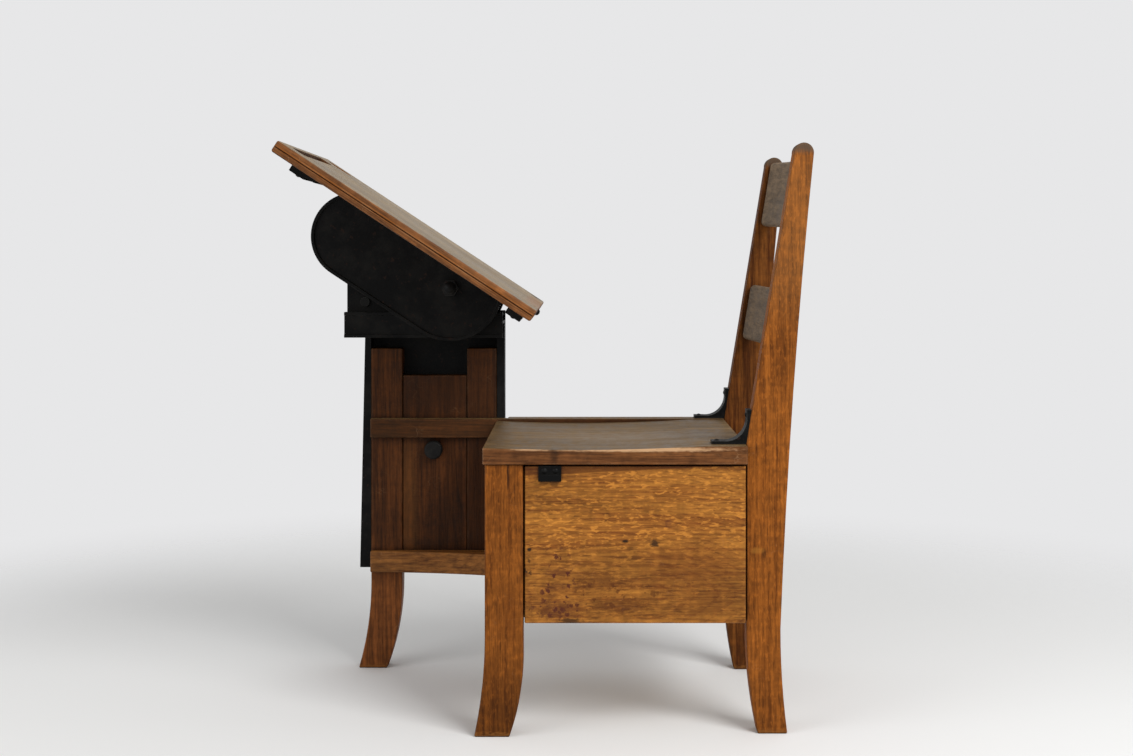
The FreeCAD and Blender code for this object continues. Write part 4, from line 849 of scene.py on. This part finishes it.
REAR_STILE_MARKS = (
    Mark(0.5, 0.35, (ALL_OVER, ALL_OVER, 0.3), "pedestal_dark", 0.5, 0.6),
)
PANEL_MARKS = (
    Mark(0.06, 0.3, (0.024, ALL_OVER, 0.16), "shelf_light", 0.14, 0.6),
    Mark(0.64, 0.2, (0.040, ALL_OVER, 0.09), "soil", 0.45, 0.7),
    # Darker top of the panel under the head rail: painted shade.
    Mark(0.5, 0.95, (ALL_OVER, ALL_OVER, 0.06), "pedestal_dark", 0.6, 0.4),
)
PEDESTAL_OAK = (
    OakPiece("pedestal_front_stile", "pedestal", "z", (0, 0.06, 0.09), (FOOT_RIM,)),
    OakPiece("pedestal_rear_stile", "pedestal", "z", (0, 0.05, -0.12), REAR_STILE_MARKS),
    OakPiece("pedestal_panel", "pedestal", "z", (0, 0.09, 0.02), PANEL_MARKS),
    OakPiece("lower_rail", "shelf", "x", (0, 0.10, 0.05)),
    OakPiece("right_rear_post", "far", "z", (0, -0.06, 0.12), (FOOT_RIM, POST_TOP)),
)

SEAT_MARKS = (
    # Light line along the top of the seat's near edge: rubbed bare wood, and a painted highlight of the
    # rounded edge.
    Mark(0.60, 0.83, (0.150, 0.006, 0.0042), "bare", 0.95, 0.9),
    Mark(0.19, 0.86, (0.035, 0.006, 0.0036), "bare", 0.90, 0.9),
    Mark(0.27, 0.5, (0.008, 0.02, 0.012), "soil", 0.55, 0.9),
    Blot(UP, 0.50, 0.50, (0.13, 0.14, 0.02), "worn_light", 0.35, 0.8),
    Blot(UP, 0.02, 0.50, (0.03, 0.20, 0.02), "worn_dark", 0.50, 0.8),
    Blot(UP, 0.31, 0.36, (0.007, 0.005, 0.01), "soil", 0.50, 1.4),
    Blot(UP, 0.72, 0.63, (0.005, 0.007, 0.01), "soil", 0.45, 1.4),
)
RAIL_MARKS = (
    Mark(0.5, 0.5, (ALL_OVER, ALL_OVER, ALL_OVER), "worn_dark", 0.12, 0.5),
)
SEAT_OAK = (
    OakPiece("seat", "seat", "x", (0, 0.02, -0.09), SEAT_MARKS, WORN_TOP, boards=Boards("Y", 3)),
    OakPiece("seat_rail", "seat_rail", "x", (0, 0.04, -0.08), RAIL_MARKS, WORN_TOP),
    OakPiece("crest_slat", "slat", "y", (0, 0.12, 0.02)),
    OakPiece("lower_slat", "slat", "y", (0, 0.12, -0.03)),
)

DRAWER_MARKS = (
    Mark(0.760, 0.38, (0.085, 0.05, 0.040), "drawer_dark", 0.40, 0.9),
    Mark(0.456, 0.521, (0.006, 0.05, 0.0026), "soil", 0.95, 0.6),
    Mark(0.588, 0.510, (0.008, 0.05, 0.0060), "soil", 0.85, 2.0),
    Mark(0.647, 0.636, (0.008, 0.05, 0.0080), "ink", 0.60, 1.6),
    Mark(0.022, 0.468, (0.004, 0.05, 0.0035), "soil", 0.95, 0.6),
    Mark(0.150, 0.325, (0.020, 0.05, 0.0080), "ink", 0.50, 3.0),
    Mark(0.150, 0.230, (0.022, 0.05, 0.0070), "ink", 0.40, 3.0),
    Mark(0.155, 0.095, (0.034, 0.05, 0.0170), "ink", 0.45, 3.4),
    Mark(0.350, 0.270, (0.045, 0.05, 0.0160), "frame_dark", 0.50, 3.4),
    Mark(0.440, 0.110, (0.045, 0.05, 0.0140), "frame_dark", 0.50, 3.4),
    Mark(0.800, 0.150, (0.060, 0.05, 0.0300), "drawer_dark", 0.20, 3.4),
    Drops(0.145, 0.260, (0.034, 0.05, 0.0640), 0.0085, "ink", 0.90),
    Drops(0.160, 0.100, (0.050, 0.05, 0.0200), 0.0075, "ink", 0.80),
    Drops(0.012, 0.230, (0.008, 0.05, 0.0620), 0.0080, "soil", 0.80),
    Drops(0.400, 0.180, (0.085, 0.05, 0.0300), 0.0075, "frame_dark", 0.70),
    Drops(0.850, 0.240, (0.060, 0.05, 0.0250), 0.0070, "frame_dark", 0.45),
    Mark(0.208, 0.015, (0.024, 0.05, 0.0050), "soil", 0.75, 1.8),
    # Darker strip under the drawer front's top edge: painted shadow of the seat's overhang, and wear.
    Wedge(0.05, 0.95, 0.0125, "frame_dark", 0.75),
)
DRAWER_OAK = (
    OakPiece("drawer_front", "drawer", "x", (0, 0.05, -0.06), DRAWER_MARKS, arch=0.9,
             fleck_zone=(0.20, 0.27)),
    OakPiece("drawer_front_side", "inner", "y", (0, 0.04, 0.11)),
    OakPiece("drawer_rear_side", "inner", "y", (0, -0.04, 0.12)),
    OakPiece("drawer_back", "inner", "x", (0, 0.05, 0.10)),
    OakPiece("drawer_bottom", "inner", "x", (0, 0.03, 0.09)),
    OakPiece("front_runner", "inner", "y", (0, 0.05, 0.06)),
    OakPiece("rear_runner", "inner", "y", (0, 0.06, 0.05)),
)

DESK_MARKS = (
    # Lighter band along the bead in the middle of the desk's edge: painted highlight.
    Band(DESK_UP, 0.5, 0.0022, "frame_light", 0.6),
    Blot(DESK_UP, 0.35, 0.30, (0.07, 0.09, 0.05), "desk_dark", 0.45, 1.4),
    Blot(DESK_UP, 0.70, 0.62, (0.08, 0.08, 0.05), "desk_dark", 0.40, 1.4),
    Blot(DESK_UP, 0.98, 0.50, (0.018, 0.19, 0.02), "rim_light", 0.45, 1.4),
    Blot(DESK_UP, 0.97, 0.93, (0.012, 0.030, 0.012), "soil", 0.75, 1.4),
    Blot(DESK_UP, 0.17, 0.80, (0.010, 0.007, 0.010), "soil", 0.70, 1.6),
    Blot(DESK_UP, 0.12, 0.77, (0.004, 0.004, 0.006), "soil", 0.80, 1.0),
    Blot(DESK_UP, 0.21, 0.87, (0.006, 0.004, 0.006), "soil", 0.60, 1.2),
)
DESK_OAK = OakPiece("desk_board", "desk", "slope", (0, 0.05, -0.11), DESK_MARKS, DESK_TOP,
                    boards=Boards("Y", 4))

CASTINGS = (
    "standard_plate", "standard_front_guide", "standard_rear_guide", "head_rail", "carriage_base",
    "near_cheek", "far_cheek", "near_sector", "far_sector", "upper_cleat", "lower_cleat", "left_seat_brace",
    "right_seat_brace", "drawer_pull",
)
STEEL_PIECES = (
    "brace_screws", "desk_screws", "pull_screws", "standard_rivets", "pivot_bolt", "tilt_nut", "cheek_stay",
    "near_bush", "middle_bush", "far_bush", "height_knob", "clamp_stud", "clamp_nut", "edge_button",
)


class ChairOakOperator(bpy.types.Operator):
    """Finish the leg, near post and drawer box in varnished oak"""
    bl_idname = "chair_desk.chair_oak"
    bl_label = "Chair Oak"

    def execute(self, context):
        for piece in CHAIR_OAK:
            oak(piece)
        return {"FINISHED"}


class PedestalOakOperator(bpy.types.Operator):
    """Finish the pedestal, its lower rail and the far rear post in darkened oak, with painted shade
    darkening the far post and, in part, the pedestal
    """
    bl_idname = "chair_desk.pedestal_oak"
    bl_label = "Pedestal Oak"

    def execute(self, context):
        for piece in PEDESTAL_OAK:
            oak(piece)
        return {"FINISHED"}


class SeatOakOperator(bpy.types.Operator):
    """Finish the seat and its rail, worn grey on top, and the back slats, with the rail darkened partly as
    painted shade
    """
    bl_idname = "chair_desk.seat_oak"
    bl_label = "Seat Oak"

    def execute(self, context):
        for piece in SEAT_OAK:
            oak(piece)
        return {"FINISHED"}


class DrawerOperator(bpy.types.Operator):
    """Finish the drawer's golden front and its plain inside"""
    bl_idname = "chair_desk.drawer"
    bl_label = "Drawer"

    def execute(self, context):
        for piece in DRAWER_OAK:
            oak(piece)
        return {"FINISHED"}


class DesktopOperator(bpy.types.Operator):
    """Finish the desktop board, bleached on top and varnished round its edges"""
    bl_idname = "chair_desk.desktop"
    bl_label = "Desktop"

    def execute(self, context):
        oak(DESK_OAK)
        return {"FINISHED"}


class IronworkOperator(bpy.types.Operator):
    """Finish the black castings and the dark steel fittings"""
    bl_idname = "chair_desk.ironwork"
    bl_label = "Ironwork"

    def execute(self, context):
        for node in CASTINGS:
            iron(node, CAST_IRON)
        for node in STEEL_PIECES:
            iron(node, DARK_STEEL)
        return {"FINISHED"}


# Studio

FLOOR_RADIUS = 5.0
FLOOR_SIDES = 96
FLOOR_FADE = (0.8, 1.8)
FLOOR_ROUGHNESS = 0.9
FLOOR_GLOSS = 0.1
SENSOR_WIDTH = 36
Lamp = namedtuple("Lamp", "place size")
LAMPS = {
    "key": Lamp((1.7, -2.1, 2.3), 1.6),
    "fill": Lamp((-2.4, -1.7, 1.3), 1.8),
}


def aim(thing, target):
    """Points a lamp or camera at a place."""
    thing.rotation_euler = (Vector(target) - thing.location).to_track_quat("-Z", "Y").to_euler()


class StageOperator(bpy.types.Operator):
    """Set up the pale floor, soft lamps and camera"""
    bl_idname = "chair_desk.stage"
    bl_label = "Stage"

    def execute(self, context):
        stage = context.scene.chair_desk_stage
        self.floor(stage)
        self.world(context.scene, stage)
        self.lamps(stage)
        self.camera(context.scene, stage)
        context.scene.view_settings.view_transform = "Standard"
        return {"FINISHED"}

    def floor(self, stage):
        bpy.ops.object.select_all(action="DESELECT")
        bpy.ops.mesh.primitive_circle_add(vertices=FLOOR_SIDES, radius=FLOOR_RADIUS, fill_type="NGON")
        floor = bpy.context.object
        floor.name = "studio_floor"
        material, tree, shader, coordinates = new_material("studio_floor")
        feed(tree, shader["Base Color"], stage.floor)
        feed(tree, shader["Roughness"], FLOOR_ROUGHNESS)
        feed(tree, shader["Specular IOR Level"], FLOOR_GLOSS)
        near = fall(tree, vector_calc(tree, "LENGTH", coordinates["Object"]), *FLOOR_FADE)
        under = add(tree, "ShaderNodeNewGeometry").outputs["Backfacing"]
        feed(tree, shader["Alpha"], scaled(tree, near, calc(tree, "SUBTRACT", 1.0, under)))
        floor.data.materials.append(material)

    def world(self, scene, stage):
        scene.world = bpy.data.worlds.new("studio")
        scene.world.use_nodes = True
        tree = scene.world.node_tree
        tree.nodes.clear()
        rays = add(tree, "ShaderNodeLightPath").outputs
        seen = calc(tree, "MAXIMUM", rays["Is Camera Ray"], rays["Is Transmission Ray"])
        seen = calc(tree, "MAXIMUM", seen, rays["Is Glossy Ray"])
        plain = add(tree, "ShaderNodeBackground", {"Color": (1, 1, 1), "Strength": stage.ambient})
        pale = add(tree, "ShaderNodeBackground", {"Color": stage.backdrop, "Strength": 1.0})
        both = add(tree, "ShaderNodeMixShader", {
            "Fac": seen, 1: plain.outputs["Background"], 2: pale.outputs["Background"]})
        add(tree, "ShaderNodeOutputWorld", {"Surface": both.outputs["Shader"]})

    def lamps(self, stage):
        target = (CAD_BOX[0] + CAD_BOX[1]) / 2
        for name, (place, size) in LAMPS.items():
            bpy.ops.object.light_add(type="AREA", location=place)
            lamp = bpy.context.object
            lamp.name = f"{name}_lamp"
            lamp.data.energy = getattr(stage, name)
            lamp.data.size = size
            aim(lamp, target)

    def camera(self, scene, stage):
        bpy.ops.object.camera_add(location=stage.camera_place)
        camera = bpy.context.object
        aim(camera, camera.location + Vector((0, 1, 0)))
        camera.data.sensor_width = SENSOR_WIDTH
        camera.data.lens = stage.lens
        camera.data.shift_x = (PICTURE_WIDTH / 2 - stage.axis_x) / PICTURE_WIDTH
        camera.data.shift_y = (stage.axis_y - PICTURE_HEIGHT / 2) / PICTURE_WIDTH
        scene.camera = camera


STEPS = (ChairOakOperator, PedestalOakOperator, SeatOakOperator, DrawerOperator, DesktopOperator,
         IronworkOperator, StageOperator)


class ChairDeskPanel(bpy.types.Panel):
    """Steps of the chair-desk"""
    bl_idname = "VIEW3D_PT_chair_desk"
    bl_label = "Chair-Desk"
    bl_space_type = "VIEW_3D"
    bl_region_type = "UI"
    bl_category = "Chair-Desk"

    def draw(self, context):
        for step in STEPS:
            self.layout.operator(step.bl_idname)
        for group in (context.scene.chair_desk_looks, context.scene.chair_desk_stage):
            for name in group.bl_rna.properties.keys():
                if name not in ("rna_type", "name"):
                    self.layout.prop(group, name)


CLASSES = (ChairDeskLooks, ChairDeskStage, *STEPS, ChairDeskPanel)


def register():
    for kind in CLASSES:
        bpy.utils.register_class(kind)
    bpy.types.Scene.chair_desk_looks = PointerProperty(type=ChairDeskLooks)
    bpy.types.Scene.chair_desk_stage = PointerProperty(type=ChairDeskStage)


def unregister():
    del bpy.types.Scene.chair_desk_stage
    del bpy.types.Scene.chair_desk_looks
    for kind in reversed(CLASSES):
        bpy.utils.unregister_class(kind)


def main():
    register()
    for step in STEPS:
        group, name = step.bl_idname.split(".")
        getattr(getattr(bpy.ops, group), name)()


if __name__ == "__main__":
    main()
